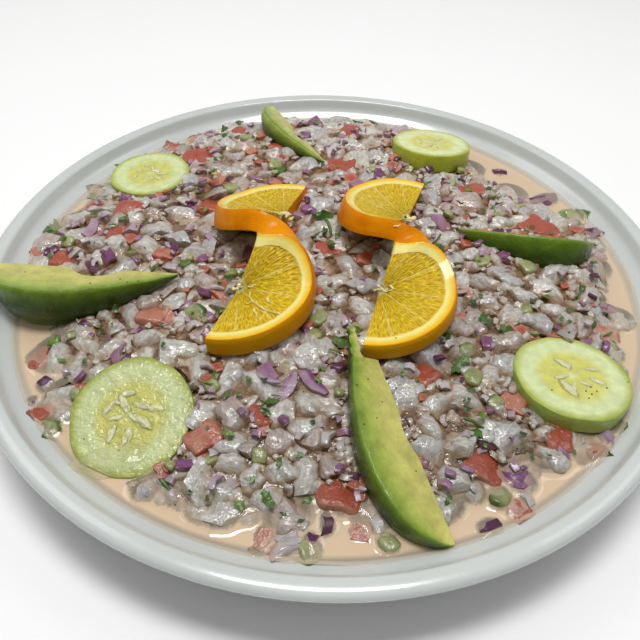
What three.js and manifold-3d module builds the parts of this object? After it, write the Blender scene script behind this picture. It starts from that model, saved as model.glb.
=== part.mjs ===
// Shrimp ceviche on a round rimmed plate: broth, a heap of diced seafood and vegetables, and garnish.
// Millimetres, +Z up. The plate's foot stands on z = 0 and its axis is the z axis.

import * as THREE from 'three';
import { mergeVertices } from 'three/addons/utils/BufferGeometryUtils.js';
import Module from 'manifold-3d';

const wasm = await Module();
wasm.setup();

// ---- driving dimensions ----

const plateRadius = 173;
const plateHeight = 36;
const rimWidth = 8.6;
const rimRound = 3;
const floorHeight = 8;
const footRadius = 100;
const footWidth = 7;
const footDepth = 3;
const plateSegments = 54;

const brothLevel = 25.5;
const brothEdgeRadius = 155;

const gap = 0.35;

// The heap's outline: its reach from the axis, every 15 degrees, anticlockwise from +X.
const heapReach = [
  143, 149, 128, 126, 149, 149, 149, 149, 149, 149, 149, 148,
  149, 136, 138, 146, 147, 146, 133, 146, 138, 148, 149, 138,
];
const heapRise = 9.5;
const heapTiltToBack = 2.2;
const heapShoulder = 0.35;
const heapLump = 1.3;
const heapSegments = 48;
const heapRings = 10;

const orangeRadius = 35.8;
const orangePeelDepth = 6.5;
const orangeCoreRadius = 2.2;

const avocadoWedge = 52;
const avocadoMinimumInset = 0.9;

const degrees = Math.PI / 180;

// ---- shared helpers ----

function closedGeometry(geometry) {
  geometry.deleteAttribute('normal');
  geometry.deleteAttribute('uv');
  return mergeVertices(geometry, 1e-4);
}

function signedVolume(positions, indices) {
  const [a, b, c] = [new THREE.Vector3(), new THREE.Vector3(), new THREE.Vector3()];
  let volume = 0;
  for (let i = 0; i < indices.length; i += 3) {
    a.fromArray(positions, 3 * indices[i]);
    b.fromArray(positions, 3 * indices[i + 1]);
    c.fromArray(positions, 3 * indices[i + 2]);
    volume += a.dot(b.cross(c)) / 6;
  }
  return volume;
}

// Joins equal rings of points into a closed body with fan caps, faces pointing out.
function loft(rings) {
  const count = rings[0].length;
  const positions = rings.flat().flatMap((point) => point.toArray());
  const indices = [];
  for (let ring = 0; ring + 1 < rings.length; ring += 1) {
    for (let i = 0; i < count; i += 1) {
      const next = (i + 1) % count;
      const [a, b] = [ring * count + i, ring * count + next];
      indices.push(a, b, b + count, a, b + count, a + count);
    }
  }
  const last = (rings.length - 1) * count;
  for (let i = 1; i + 1 < count; i += 1) {
    indices.push(0, i + 1, i);
    indices.push(last, last + i, last + i + 1);
  }
  if (signedVolume(positions, indices) < 0) {
    indices.reverse();
  }
  const geometry = new THREE.BufferGeometry();
  geometry.setAttribute('position', new THREE.Float32BufferAttribute(positions, 3));
  geometry.setIndex(indices);
  return geometry;
}

// A body turned about the z axis from [radius, height] points.
function turned(profile, segments) {
  const points = profile.map(([radius, height]) => new THREE.Vector2(radius, height));
  const geometry = new THREE.LatheGeometry(points, segments);
  geometry.rotateX(Math.PI / 2);
  return closedGeometry(geometry);
}

function toSolid(geometry, matrix = new THREE.Matrix4()) {
  const moved = geometry.clone().applyMatrix4(matrix);
  const vertProperties = new Float32Array(moved.attributes.position.array);
  const triVerts = new Uint32Array(moved.index.array);
  return new wasm.Manifold(new wasm.Mesh({ numProp: 3, vertProperties, triVerts }));
}

function toGeometry(solid) {
  const mesh = solid.getMesh();
  const geometry = new THREE.BufferGeometry();
  geometry.setAttribute('position', new THREE.BufferAttribute(new Float32Array(mesh.vertProperties), 3));
  geometry.setIndex(new THREE.BufferAttribute(new Uint32Array(mesh.triVerts), 1));
  return geometry;
}

// A cut can leave crumbs beside the body: this keeps the body.
function largestBody(solid) {
  return solid.decompose().reduce((best, piece) => (piece.volume() > best.volume() ? piece : best));
}

function named(name, geometry, color, roughness) {
  const material = new THREE.MeshStandardMaterial({ color, roughness, metalness: 0 });
  const mesh = new THREE.Mesh(geometry, material);
  mesh.name = name;
  return mesh;
}

// Sets a mesh by where its origin lies and where its x and y axes point.
function aim(mesh, origin, xAxis, yAxis) {
  const x = xAxis.clone().normalize();
  const z = x.clone().cross(yAxis).normalize();
  const y = z.clone().cross(x);
  mesh.position.copy(origin);
  mesh.quaternion.setFromRotationMatrix(new THREE.Matrix4().makeBasis(x, y, z));
  return mesh;
}

// ---- plate ----

const rimInnerRadius = plateRadius - rimWidth;

// The well's inner face from the rim down to the floor's edge: a steep step, a sloping ledge, then the wall.
const wellProfile = [
  [rimInnerRadius, plateHeight - 1],
  [rimInnerRadius - 2.1, plateHeight - 5.9],
  [brothEdgeRadius, brothLevel],
  [brothEdgeRadius - 3, brothLevel - 4.5],
  [brothEdgeRadius - 5.5, brothLevel - 9.5],
  [brothEdgeRadius - 11, brothLevel - 14.5],
  [brothEdgeRadius - 23, floorHeight + 0.5],
  [brothEdgeRadius - 38, floorHeight],
];

function plate() {
  const profile = [
    [0, footDepth],
    [footRadius - footWidth, footDepth],
    [footRadius - footWidth + 1, 0],
    [footRadius, 0],
    [footRadius + 3, 2.5],
    [brothEdgeRadius - 25, 4],
    [brothEdgeRadius - 8, 9],
    [brothEdgeRadius + 2, 17],
    [plateRadius - 8, 24.5],
    [plateRadius - 2, plateHeight - 2 * rimRound],
    [plateRadius, plateHeight - 0.8 * rimRound],
    [plateRadius - 0.4 * rimRound, plateHeight - 0.2 * rimRound],
    [plateRadius - rimRound, plateHeight],
    [rimInnerRadius + 1.5, plateHeight],
    ...wellProfile,
    [0, floorHeight],
  ];
  return named('plate', turned(profile, plateSegments), '#dfe3de', 0.25);
}

// The room inside the plate below a height, clear of its inner face.
function roomInside(top, segments) {
  const above = wellProfile.findIndex(([, height]) => height < top);
  const wall = wellProfile.slice(above).map(([radius, height]) => [radius - gap, height + gap]);
  const [highRadius, highest] = wellProfile[Math.max(0, above - 1)];
  const [lowRadius, lowest] = wellProfile[above];
  const share = Math.min(1, (top - lowest) / Math.max(highest - lowest, gap));
  const mouthRadius = lowRadius + (highRadius - lowRadius) * share - gap;
  const profile = [[0, floorHeight + gap], ...wall.reverse(), [mouthRadius, top], [0, top]];
  return turned(profile, segments);
}

// ---- cucumber slices ----

// The origin is the top face's centre. flat is a straight cut across the edge: its heading and its distance.
function cucumberSlice({ radius, thickness, oval = 1, flat, grow = 0, headroom = 0 }) {
  const edge = 0.8;
  const outer = radius + grow;
  const top = grow + headroom;
  const profile = [
    [0, -thickness - grow],
    [outer - edge, -thickness - grow],
    [outer, -thickness - grow + edge],
    [outer, top - edge],
    [outer - edge, top],
    [0, top],
  ];
  const geometry = turned(profile, 28);
  geometry.scale(1, oval, 1);
  if (flat) {
    const [nx, ny] = [Math.cos(flat.heading * degrees), Math.sin(flat.heading * degrees)];
    const points = geometry.attributes.position;
    for (let i = 0; i < points.count; i += 1) {
      const over = points.getX(i) * nx + points.getY(i) * ny - flat.distance - grow;
      if (over > 0) {
        points.setXY(i, points.getX(i) - over * nx, points.getY(i) - over * ny);
      }
    }
  }
  return geometry;
}

function placeCucumber(mesh, { centre, normal }) {
  mesh.position.set(...centre);
  mesh.quaternion.setFromUnitVectors(new THREE.Vector3(0, 0, 1), new THREE.Vector3(...normal).normalize());
  return mesh;
}

const cucumbers = {
  front_left: {
    radius: 25.6, thickness: 7, oval: 1.055, flat: { heading: -114, distance: 25.3 },
    centre: [-80.6, -98.3, 32.1], normal: [-0.05, -0.22, 0.974],
  },
  front_right: { radius: 25.6, thickness: 8, centre: [107.2, -71.5, 34], normal: [0.046, 0.089, 0.995] },
  back_left: { radius: 23, thickness: 7, centre: [-107.1, 75.3, 33], normal: [-0.047, 0.03, 0.998] },
  back_right: { radius: 23.8, thickness: 10.5, centre: [61.6, 108.6, 39], normal: [0.041, 0.204, 0.978] },
};

// ---- avocado slices ----

// A wedge of a pear-shaped half. x runs along it, the upper cut face lies in z = 0 and reaches towards
// +y, and the skin side curves down from it. The stone leaves a hollow in the inner edge. keep is the
// share of the pear's length that is left where the tip is broken off, and tongue is a torn strip there.
function avocadoSlice({ length, radius, wedge = avocadoWedge, bluntAtStart, stone, keep = 1, tongue, grow = 0 }) {
  const sector = wedge * degrees;
  const apexShift = grow / Math.sin(sector / 2);
  const stations = 13;
  const skinSteps = 6;
  const innerSteps = 2;
  const rings = [];
  const addRing = (x, inner, skin, from = 0, to = 1) => {
    const ring = [];
    const addPoint = (reach, share) => {
      const angle = sector * (from + (to - from) * share);
      const y = reach * Math.cos(angle) - apexShift * Math.cos(sector / 2);
      const z = -reach * Math.sin(angle) + apexShift * Math.sin(sector / 2);
      ring.push(new THREE.Vector3(x, y, z));
    };
    for (let i = 0; i <= skinSteps; i += 1) {
      addPoint(skin, i / skinSteps);
    }
    for (let i = innerSteps; i >= 0; i -= 1) {
      addPoint(inner, i / innerSteps);
    }
    rings.push(ring);
  };
  const skinAt = (s) => (radius * Math.sqrt(s) * (1 - s)) / 0.385 + 1.2 + apexShift + grow;

  for (let station = 0; station <= stations; station += 1) {
    const s = 0.004 + 0.984 * (1 - Math.cos((Math.PI * station) / stations)) / 2;
    const along = (s * length - stone.at) / stone.halfLength;
    const hollow = Math.max(0, stone.depth * (1 - along * along));
    const inner = Math.max(avocadoMinimumInset, hollow + apexShift - grow);
    addRing((bluntAtStart ? s : 1 - s) * (length + 2 * grow) - grow, inner, Math.max(skinAt(s * keep), inner + 0.6));
  }
  if (tongue) {
    const skin = skinAt(keep);
    const root = skin - tongue.width - 2 * grow;
    addRing(length + grow + 0.3, root, skin - 0.3, 0.08, 0.8);
    addRing(length + tongue.reach / 2, root - 1.5, skin - 2, 0.1, 0.75);
    addRing(length + tongue.reach + grow, root - 2.5, skin - 5, 0.15, 0.6);
  }
  return loft(rings);
}

// roll is how far the upper face's outer edge is raised above its inner edge.
function placeAvocado(mesh, { from, to, roll }) {
  const start = new THREE.Vector3(...from);
  const axis = new THREE.Vector3(...to).sub(start).normalize();
  const outward = new THREE.Vector3(0, 0, 1).cross(axis).normalize();
  const lift = axis.clone().cross(outward);
  outward.multiplyScalar(Math.cos(roll * degrees)).addScaledVector(lift, Math.sin(roll * degrees));
  return aim(mesh, start, axis, outward);
}

const avocados = {
  left: { from: [-73, -17.2, 38], to: [-163, -17, 41.5], radius: 29, roll: 20, bluntAtStart: false },
  back: { from: [-3, 86, 37], to: [-38, 145, 40], radius: 16, roll: 28, bluntAtStart: false },
  right: { from: [142, 27, 29], to: [59, 36, 30], radius: 26, roll: 40, bluntAtStart: true },
  front: {
    from: [48.8, -147.8, 27.2], to: [21.9, -68.4, 38.5], radius: 24.1, roll: 26.2, wedge: 42,
    bluntAtStart: true, keep: 0.78, tongue: { width: 5.5, reach: 16.5 },
  },
};

for (const slice of Object.values(avocados)) {
  slice.length = new THREE.Vector3(...slice.from).distanceTo(new THREE.Vector3(...slice.to));
  slice.stone = { at: 0.55 * slice.length, halfLength: 0.15 * slice.length, depth: 0.36 * slice.radius };
}
avocados.front.stone.depth = 3;

// ---- orange twists ----

// Half of an orange slice. Its face's core is at centre, the cut across it points to the peel hinge at
// the heading, and the outer side bulges clockwise from there. Towards the hinge the face lifts.
function halfDisc({ centre, heading, pitch, bank, lift, liftSpan, hingeThickness, endThickness }, grow) {
  const turn = new THREE.Matrix4().makeRotationFromEuler(
    new THREE.Euler(pitch * degrees, bank * degrees, heading * degrees, 'XYZ'),
  );
  const [toHinge, toSide, normal] = [new THREE.Vector3(), new THREE.Vector3(), new THREE.Vector3()];
  turn.extractBasis(toHinge, toSide, normal);
  toSide.negate();
  const core = new THREE.Vector3(...centre).addScaledVector(toSide, -grow).addScaledVector(normal, grow);
  const radius = orangeRadius + 2 * grow;

  // Points and directions at an angle from the hinge: face edge, under edge and both core edges.
  return (angle) => {
    const rise = lift * degrees * Math.max(0, 1 - angle / (liftSpan * degrees)) ** 1.3;
    const flat = toHinge.clone().multiplyScalar(Math.cos(angle)).addScaledVector(toSide, Math.sin(angle));
    const outward = flat.clone().multiplyScalar(Math.cos(rise)).addScaledVector(normal, Math.sin(rise));
    const faceUp = normal.clone().multiplyScalar(Math.cos(rise)).addScaledVector(flat, -Math.sin(rise));
    const share = Math.min(1, angle / (Math.PI / 2));
    const thickness = hingeThickness + (endThickness - hingeThickness) * share + 2 * grow;
    const face = core.clone().addScaledVector(outward, radius);
    const coreFace = core.clone().addScaledVector(outward, orangeCoreRadius);
    return {
      face,
      under: face.clone().addScaledVector(faceUp, -thickness),
      coreFace,
      coreUnder: coreFace.clone().addScaledVector(faceUp, -thickness),
      outward,
      thickness,
    };
  };
}

function hermite(start, startSlope, end, endSlope, t) {
  const point = start.clone().multiplyScalar(2 * t ** 3 - 3 * t ** 2 + 1);
  point.addScaledVector(startSlope, t ** 3 - 2 * t ** 2 + t);
  point.addScaledVector(end, -2 * t ** 3 + 3 * t ** 2);
  return point.addScaledVector(endSlope, t ** 3 - t ** 2);
}

// Two half discs joined by their peel, which rolls over between them: what is the back half's face
// is the front half's underside. Each ring is top edge, low edge, inner low edge, inner top edge.
function orangeTwist({ back, front, grow = 0 }) {
  const backAt = halfDisc(back, grow);
  const frontAt = halfDisc(front, grow);
  const backStep = 15 * degrees;
  const blendBack = 20 * degrees;
  const blendFront = 58 * degrees;
  const blendSteps = 12;
  const rings = [];

  for (let angle = Math.PI; angle > blendBack + 0.01; angle -= backStep) {
    const at = backAt(angle);
    rings.push([at.face, at.under, at.coreUnder, at.coreFace]);
  }

  const slopeStep = 2 * degrees;
  const arc = blendBack + blendFront;
  const [start, beforeStart] = [backAt(blendBack), backAt(blendBack + slopeStep)];
  const [end, afterEnd] = [frontAt(blendFront), frontAt(blendFront + slopeStep)];
  const slope = (from, to) => to.clone().sub(from).multiplyScalar(arc / slopeStep);
  const edge = (startPoint, before, endPoint, after, t) => (
    hermite(startPoint, slope(before, startPoint), endPoint, slope(endPoint, after), t)
  );
  const topEdge = (t) => edge(start.face, beforeStart.face, end.under, afterEnd.under, t);
  const lowEdge = (t) => edge(start.under, beforeStart.under, end.face, afterEnd.face, t);
  const middle = (t) => topEdge(t).add(lowEdge(t)).multiplyScalar(0.5);

  for (let step = 0; step <= blendSteps; step += 1) {
    const t = step / blendSteps;
    const across = topEdge(t).sub(lowEdge(t)).normalize();
    const along = middle(t + 0.01).sub(middle(t - 0.01)).normalize();
    const outward = along.clone().cross(across).normalize();
    if (step === 0 && outward.dot(start.outward) < 0) {
      throw new Error('the band must run with its outer side to the right');
    }
    const halfWidth = (start.thickness + (end.thickness - start.thickness) * t) / 2;
    const top = middle(t).addScaledVector(across, halfWidth);
    const low = middle(t).addScaledVector(across, -halfWidth);
    const hingeAt = blendBack / arc;
    let innerTop = top.clone().addScaledVector(outward, -orangePeelDepth - 2 * grow);
    let innerLow = low.clone().addScaledVector(outward, -orangePeelDepth - 2 * grow);
    if (t < hingeAt - 0.13) {
      const at = backAt(blendBack * (1 - t / hingeAt));
      [innerTop, innerLow] = [at.coreFace, at.coreUnder];
    } else if (t > hingeAt + 0.05) {
      const at = frontAt((blendFront * (t - hingeAt)) / (1 - hingeAt));
      [innerTop, innerLow] = [at.coreUnder, at.coreFace];
    }
    rings.push([top, low, innerLow, innerTop]);
  }

  const frontSteps = 8;
  for (let step = 1; step <= frontSteps; step += 1) {
    const at = frontAt(blendFront + ((Math.PI - blendFront) * step) / frontSteps);
    rings.push([at.under, at.face, at.coreFace, at.coreUnder]);
  }
  return loft(rings);
}

const twists = {
  right: {
    back: {
      centre: [40.6, 25.5, 43.2], heading: -109.5, pitch: 1.2, bank: 6.6,
      lift: 35.8, liftSpan: 121, hingeThickness: 9.2, endThickness: 13.6,
    },
    front: {
      centre: [23.5, -31.3, 44.6], heading: 76, pitch: 0.7, bank: -7.1,
      lift: 35.8, liftSpan: 82, hingeThickness: 8, endThickness: 9,
    },
  },
  left: {
    back: {
      centre: [-24.7, 25.5, 43.3], heading: -107.6, pitch: -8, bank: -0.6,
      lift: 34.9, liftSpan: 118, hingeThickness: 10.1, endThickness: 13,
    },
    front: {
      centre: [-42.7, -30, 42], heading: 70.7, pitch: -2.4, bank: -9.1,
      lift: 54.4, liftSpan: 80, hingeThickness: 8.7, endThickness: 10,
    },
  },
};

// ---- heap and broth ----

function reachAt(azimuth) {
  const count = heapReach.length;
  const place = (((azimuth / (2 * Math.PI)) % 1) + 1) % 1 * count;
  const at = (i) => heapReach[(i + count) % count];
  const i = Math.floor(place);
  const t = place - i;
  const ease = t * t * (3 - 2 * t);
  return at(i) + (at(i + 1) - at(i)) * ease + 1.2 * Math.sin(11 * azimuth) * Math.sin(Math.PI * t);
}

function lumps(x, y) {
  const broad = Math.sin(x / 13 + 1) * Math.cos(y / 11);
  const fine = Math.sin(x / 5.1 - y / 7.3) + Math.cos(x / 6.7 + y / 4.9 + 2);
  return heapLump * (0.9 * broad + 0.45 * fine);
}

function heapHeight(x, y, share) {
  const rise = heapRise + (heapTiltToBack * y) / brothEdgeRadius;
  return brothLevel + 0.8 + rise * (1 - share ** 5) ** heapShoulder + lumps(x, y) * (1 - share ** 3);
}

// The heap's upper face over a straight side that goes down past the plate's floor.
function heapColumn(grow) {
  const rings = [];
  const ringAt = (share, height) => {
    const ring = [];
    for (let i = 0; i < heapSegments; i += 1) {
      const azimuth = (2 * Math.PI * i) / heapSegments;
      const reach = (reachAt(azimuth) + grow) * share;
      const [x, y] = [reach * Math.cos(azimuth), reach * Math.sin(azimuth)];
      ring.push(new THREE.Vector3(x, y, height ?? heapHeight(x, y, share) + grow));
    }
    return ring;
  };
  rings.push(ringAt(0.02, 1));
  rings.push(ringAt(1, 1));
  for (let step = heapRings; step >= 1; step -= 1) {
    rings.push(ringAt(1 - (1 - step / heapRings) ** 1.25));
  }
  rings.push(ringAt(0.02));
  return loft(rings);
}

// ---- assembly ----

const ceviche = new THREE.Group();
const garnish = [];
const clearances = [];

function addGarnish(name, build, place, options, color, roughness) {
  const mesh = place(named(name, build(options), color, roughness), options);
  const clearance = place(new THREE.Mesh(build({ ...options, grow: gap, headroom: plateHeight })), options);
  mesh.updateMatrixWorld();
  clearance.updateMatrixWorld();
  garnish.push(mesh);
  clearances.push(toSolid(clearance.geometry, clearance.matrixWorld));
}

for (const [side, options] of Object.entries(cucumbers)) {
  addGarnish(`cucumber_slice_${side}`, cucumberSlice, placeCucumber, options, '#cbd487', 0.35);
}
for (const [side, options] of Object.entries(avocados)) {
  addGarnish(`avocado_slice_${side}`, avocadoSlice, placeAvocado, options, '#9fb544', 0.4);
}
for (const [side, options] of Object.entries(twists)) {
  addGarnish(`orange_twist_${side}`, orangeTwist, (mesh) => mesh, options, '#f0a010', 0.4);
}

const garnishRoom = clearances.reduce((joined, solid) => joined.add(solid));

const heap = largestBody(
  toSolid(heapColumn(0)).intersect(toSolid(roomInside(2 * plateHeight, plateSegments / 2))).subtract(garnishRoom),
);
const broth = largestBody(
  toSolid(roomInside(brothLevel, plateSegments)).subtract(toSolid(heapColumn(gap))).subtract(garnishRoom),
);

ceviche.add(plate());
ceviche.add(named('broth', toGeometry(broth), '#e2c4a4', 0.2));
ceviche.add(named('ceviche_heap', toGeometry(heap), '#cfc0bb', 0.5));
ceviche.add(...garnish);

export default ceviche;
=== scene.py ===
import math
import random

import bpy
import numpy as np
from mathutils import Matrix, Vector, noise
from mathutils.bvhtree import BVHTree


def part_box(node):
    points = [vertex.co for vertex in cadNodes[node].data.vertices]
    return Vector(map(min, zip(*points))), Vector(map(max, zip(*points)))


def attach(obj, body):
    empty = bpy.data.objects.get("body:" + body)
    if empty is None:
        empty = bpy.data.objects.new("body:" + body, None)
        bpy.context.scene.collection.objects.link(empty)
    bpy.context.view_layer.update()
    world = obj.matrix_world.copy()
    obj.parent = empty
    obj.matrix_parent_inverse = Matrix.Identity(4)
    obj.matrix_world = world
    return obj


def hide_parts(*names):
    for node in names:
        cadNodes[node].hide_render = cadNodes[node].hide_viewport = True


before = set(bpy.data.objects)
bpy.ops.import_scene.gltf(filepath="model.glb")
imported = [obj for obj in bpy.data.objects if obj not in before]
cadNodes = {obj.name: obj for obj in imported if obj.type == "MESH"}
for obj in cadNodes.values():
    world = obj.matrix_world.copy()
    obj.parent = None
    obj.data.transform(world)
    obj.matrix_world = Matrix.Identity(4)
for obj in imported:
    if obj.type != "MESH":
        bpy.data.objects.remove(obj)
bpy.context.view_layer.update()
mm = 0.001
fullTurn = 2 * math.pi
down = Vector((0, 0, -1))
highUp = 0.2  # a height over everything on the plate
noise.seed_set(5)  # without a seed of its own the noise differs from run to run


# small helpers

def deselectAll():
    if bpy.context.object and bpy.context.object.mode != "OBJECT":
        bpy.ops.object.mode_set(mode="OBJECT")
    bpy.ops.object.select_all(action="DESELECT")


def pick(piece):
    deselectAll()
    piece.select_set(True)
    bpy.context.view_layer.objects.active = piece


def editAll(piece):
    pick(piece)
    bpy.ops.object.mode_set(mode="EDIT")
    bpy.ops.mesh.select_all(action="SELECT")


def leaveEdit():
    bpy.ops.object.mode_set(mode="OBJECT")


def finishEdit():
    # all faces look outward
    bpy.ops.mesh.select_all(action="SELECT")
    bpy.ops.mesh.normals_make_consistent(inside=False)
    leaveEdit()


def editChosen(piece, kind, chosen):
    # edit mode with only those corners ("VERT") or faces ("FACE") selected that a function chooses
    editAll(piece)
    bpy.ops.mesh.select_all(action="DESELECT")
    bpy.ops.mesh.select_mode(type=kind)
    leaveEdit()
    parts = piece.data.vertices if kind == "VERT" else piece.data.polygons
    parts.foreach_set("select", [bool(chosen(part)) for part in parts])
    bpy.ops.object.mode_set(mode="EDIT")


def newest(name):
    piece = bpy.context.object
    piece.name = name
    piece.data.name = name
    return piece


def addObject(name, mesh):
    piece = bpy.data.objects.new(name, mesh)
    bpy.context.scene.collection.objects.link(piece)
    return piece


def addPrimitive(add, name, **settings):
    deselectAll()
    add(**settings)
    return newest(name)


def applyModifier(piece, kind, **settings):
    pick(piece)
    modifier = piece.modifiers.new(kind.lower(), kind)
    for key, value in settings.items():
        setattr(modifier, key, value)
    bpy.ops.object.modifier_apply(modifier=modifier.name)


def smooth(piece, angle=180):
    pick(piece)
    if angle >= 180:
        bpy.ops.object.shade_smooth()
    else:
        bpy.ops.object.shade_smooth_by_angle(angle=math.radians(angle))


def settle(piece):
    # the place goes into the mesh, the object stays at the origin
    pick(piece)
    bpy.ops.object.transform_apply(location=True, rotation=True, scale=True)


def handOver(piece, slot, materials, *nodes):
    for material in materials:
        piece.data.materials.append(material)
    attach(piece, "root")
    if nodes:
        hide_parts(*nodes)


def joinAll(name, pieces):
    deselectAll()
    for piece in pieces:
        piece.select_set(True)
    bpy.context.view_layer.objects.active = pieces[0]
    bpy.ops.object.join()
    return newest(name)


def setFloat(mesh, name, values):
    attribute = mesh.attributes.get(name) or mesh.attributes.new(name, "FLOAT", "POINT")
    attribute.data.foreach_set("value", np.asarray(values, np.float32))


def setPlace(mesh, name, points):
    attribute = mesh.attributes.new(name, "FLOAT_VECTOR", "POINT")
    attribute.data.foreach_set("vector", np.asarray(points, np.float32).ravel())


def trianglesOf(mesh):
    return sum(len(polygon.vertices) - 2 for polygon in mesh.polygons)


def pointsOf(mesh):
    points = np.empty(len(mesh.vertices) * 3)
    mesh.vertices.foreach_get("co", points)
    return points.reshape(-1, 3)


def lumpy(piece, size, depth, seed):
    # pushes the surface in and out by a smooth noise
    for vertex in piece.data.vertices:
        push = noise.noise_vector(vertex.co / size + Vector((seed * 7.3, seed * 3.1, seed)))
        vertex.co += push * depth


# materials: a few shortcuts over the shader nodes

bench = {}  # the material in work: all shortcuts below add to it


def startMaterial(name):
    bench["material"] = bpy.data.materials.new(name)
    bench["material"].use_nodes = True
    bench["tree"] = bench["material"].node_tree


def feed(socket, value):
    if isinstance(value, bpy.types.NodeSocket):
        bench["tree"].links.new(value, socket)
    elif socket.type == "RGBA":
        socket.default_value = (*value, 1)
    else:
        socket.default_value = value


def feedAll(node, inputs):
    for key, value in inputs.items():
        feed(next(s for s in node.inputs if s.enabled and s.name.replace(" ", "") == key), value)


def addNode(kind, settings=None, **inputs):
    node = bench["tree"].nodes.new("ShaderNode" + kind)
    for key, value in (settings or {}).items():
        setattr(node, key, value)
    feedAll(node, inputs)
    return node


def objectPlace():
    return addNode("TexCoord").outputs["Object"]


def readFloat(name):
    return addNode("Attribute", {"attribute_name": name}).outputs["Fac"]


def noiseOf(scale, detail=2.0, place=None):
    place = place or objectPlace()
    return addNode("TexNoise", Vector=place, Scale=scale, Detail=detail, Roughness=0.55).outputs["Fac"]


def grey(value):
    return (value, value, value)


def unit(value):
    return max(0.0, min(1.0, value))


def ramp(value, *stops):
    node = addNode("ValToRGB", Fac=value)
    elements = node.color_ramp.elements
    while len(elements) < len(stops):
        elements.new(0.5)
    for element, (place, color) in zip(elements, stops):
        element.position = place
        element.color = (*(color if isinstance(color, tuple) else grey(color)), 1)
    return node.outputs["Color"]


def mathNode(operation, first, second=0.0, clamp=False):
    node = addNode("Math", {"operation": operation, "use_clamp": clamp})
    feed(node.inputs[0], first)
    feed(node.inputs[1], second)
    return node.outputs[0]


def plus(first, second):
    return mathNode("ADD", first, second)


def minus(first, second):
    return mathNode("SUBTRACT", first, second)


def times(first, second):
    return mathNode("MULTIPLY", first, second)


def mixColor(factor, first, second, blend="MIX"):
    node = addNode("Mix", {"data_type": "RGBA", "blend_type": blend}, Factor=factor, A=first, B=second)
    return next(s for s in node.outputs if s.enabled)


def tinted(color, tint):
    return mixColor(1.0, color, tint, "MULTIPLY")


def bumpOf(height, strength, distance, normal=None):
    node = addNode("Bump", Height=height, Strength=strength, Distance=distance)
    if normal:
        feed(node.inputs["Normal"], normal)
    return node.outputs["Normal"]


def setShader(**inputs):
    shader = next(node for node in bench["tree"].nodes if node.type == "BSDF_PRINCIPLED")
    feedAll(shader, inputs)
    return bench["material"]


# camera, floor and light

viewLook = {
    "imageSize": 640,
    "focalPixels": 669.0,
    "sensor": 36.0,
    "elevation": 46.0,
    "roll": 1.8,
    "lookAt": (-0.004, -0.0443, 0.036),
    "distance": 0.310,
}

lightLook = {
    "zenith": 0.36,
    "horizon": 0.25,
    "behind": 0.13,  # how much brighter the dome is behind the plate than before it
    "lamps": (
        # place, width and depth, watts
        ((-0.70, 0.35, 1.15), (0.50, 0.50), 2.0),
        ((0.75, 0.30, 1.15), (0.40, 0.40), 1.2),
        ((0.05, -0.65, 1.20), (0.60, 0.60), 0.6),
        ((0.0, 0.02, 1.30), (0.55, 0.30), 9.8),
    ),
    "floorColor": (0.97, 0.97, 0.96),
    "floorPale": 0.98,
    "floorSize": 8.0,
}


def viewTurn():
    lean = Matrix.Rotation(math.radians(90 - viewLook["elevation"]), 4, "X")
    return lean @ Matrix.Rotation(math.radians(viewLook["roll"]), 4, "Z")


def eyePlace():
    back = viewTurn() @ Vector((0, 0, 1))
    return Vector(viewLook["lookAt"]) + back * viewLook["distance"]


def makeCamera():
    data = bpy.data.cameras.new("camera")
    data.sensor_width = viewLook["sensor"]
    data.lens = viewLook["focalPixels"] / viewLook["imageSize"] * viewLook["sensor"]
    data.clip_start, data.clip_end = 0.01, 50
    camera = addObject("camera", data)
    camera.matrix_world = Matrix.Translation(eyePlace()) @ viewTurn()
    bpy.context.scene.camera = camera


def makeLight():
    world = bpy.data.worlds.new("studio")
    bpy.context.scene.world = world
    world.use_nodes = True
    nodes, links = world.node_tree.nodes, world.node_tree.links
    split = nodes.new("ShaderNodeSeparateXYZ")
    links.new(nodes.new("ShaderNodeTexCoord").outputs["Generated"], split.inputs[0])
    fade = nodes.new("ShaderNodeMapRange")  # a soft dome, brighter overhead
    fade.inputs["To Min"].default_value = lightLook["horizon"]
    fade.inputs["To Max"].default_value = lightLook["zenith"]
    links.new(split.outputs["Z"], fade.inputs["Value"])
    tilt = nodes.new("ShaderNodeMath")
    tilt.operation = "MULTIPLY_ADD"
    tilt.inputs[1].default_value = lightLook["behind"]
    links.new(split.outputs["Y"], tilt.inputs[0])
    links.new(fade.outputs["Result"], tilt.inputs[2])
    links.new(tilt.outputs["Value"], nodes["Background"].inputs["Strength"])
    nodes["Background"].inputs["Color"].default_value = (1, 1, 1, 1)
    for number, (place, size, watts) in enumerate(lightLook["lamps"], 1):
        lamp = bpy.data.lights.new(f"lamp_{number}", "AREA")
        lamp.shape = "RECTANGLE"
        lamp.size, lamp.size_y = size
        lamp.energy = watts
        holder = addObject(f"lamp_{number}", lamp)
        holder.location = place
        holder.rotation_mode = "QUATERNION"
        holder.rotation_quaternion = Vector(place).to_track_quat("Z", "Y")


def makeFloor():
    floor = addPrimitive(bpy.ops.mesh.primitive_plane_add, "floor", size=lightLook["floorSize"])
    startMaterial("paleFloor")
    soft = ramp(noiseOf(0.7), (0.3, lightLook["floorColor"]), (0.7, lightLook["floorPale"]))
    floor.data.materials.append(setShader(BaseColor=soft, Roughness=0.9))


makeCamera()
makeLight()
makeFloor()
bpy.context.scene.view_settings.view_transform = "Standard"
bpy.context.scene.view_settings.exposure = 0.0
print("camera, light and floor are ready")


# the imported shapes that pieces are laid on

def treeOf(*names):
    corners, faces = [], []
    for name in names:
        mesh = cadNodes[name].data
        start = len(corners)
        corners += [vertex.co.copy() for vertex in mesh.vertices]
        faces += [[start + index for index in polygon.vertices] for polygon in mesh.polygons]
    return BVHTree.FromPolygons(corners, faces)


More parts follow.
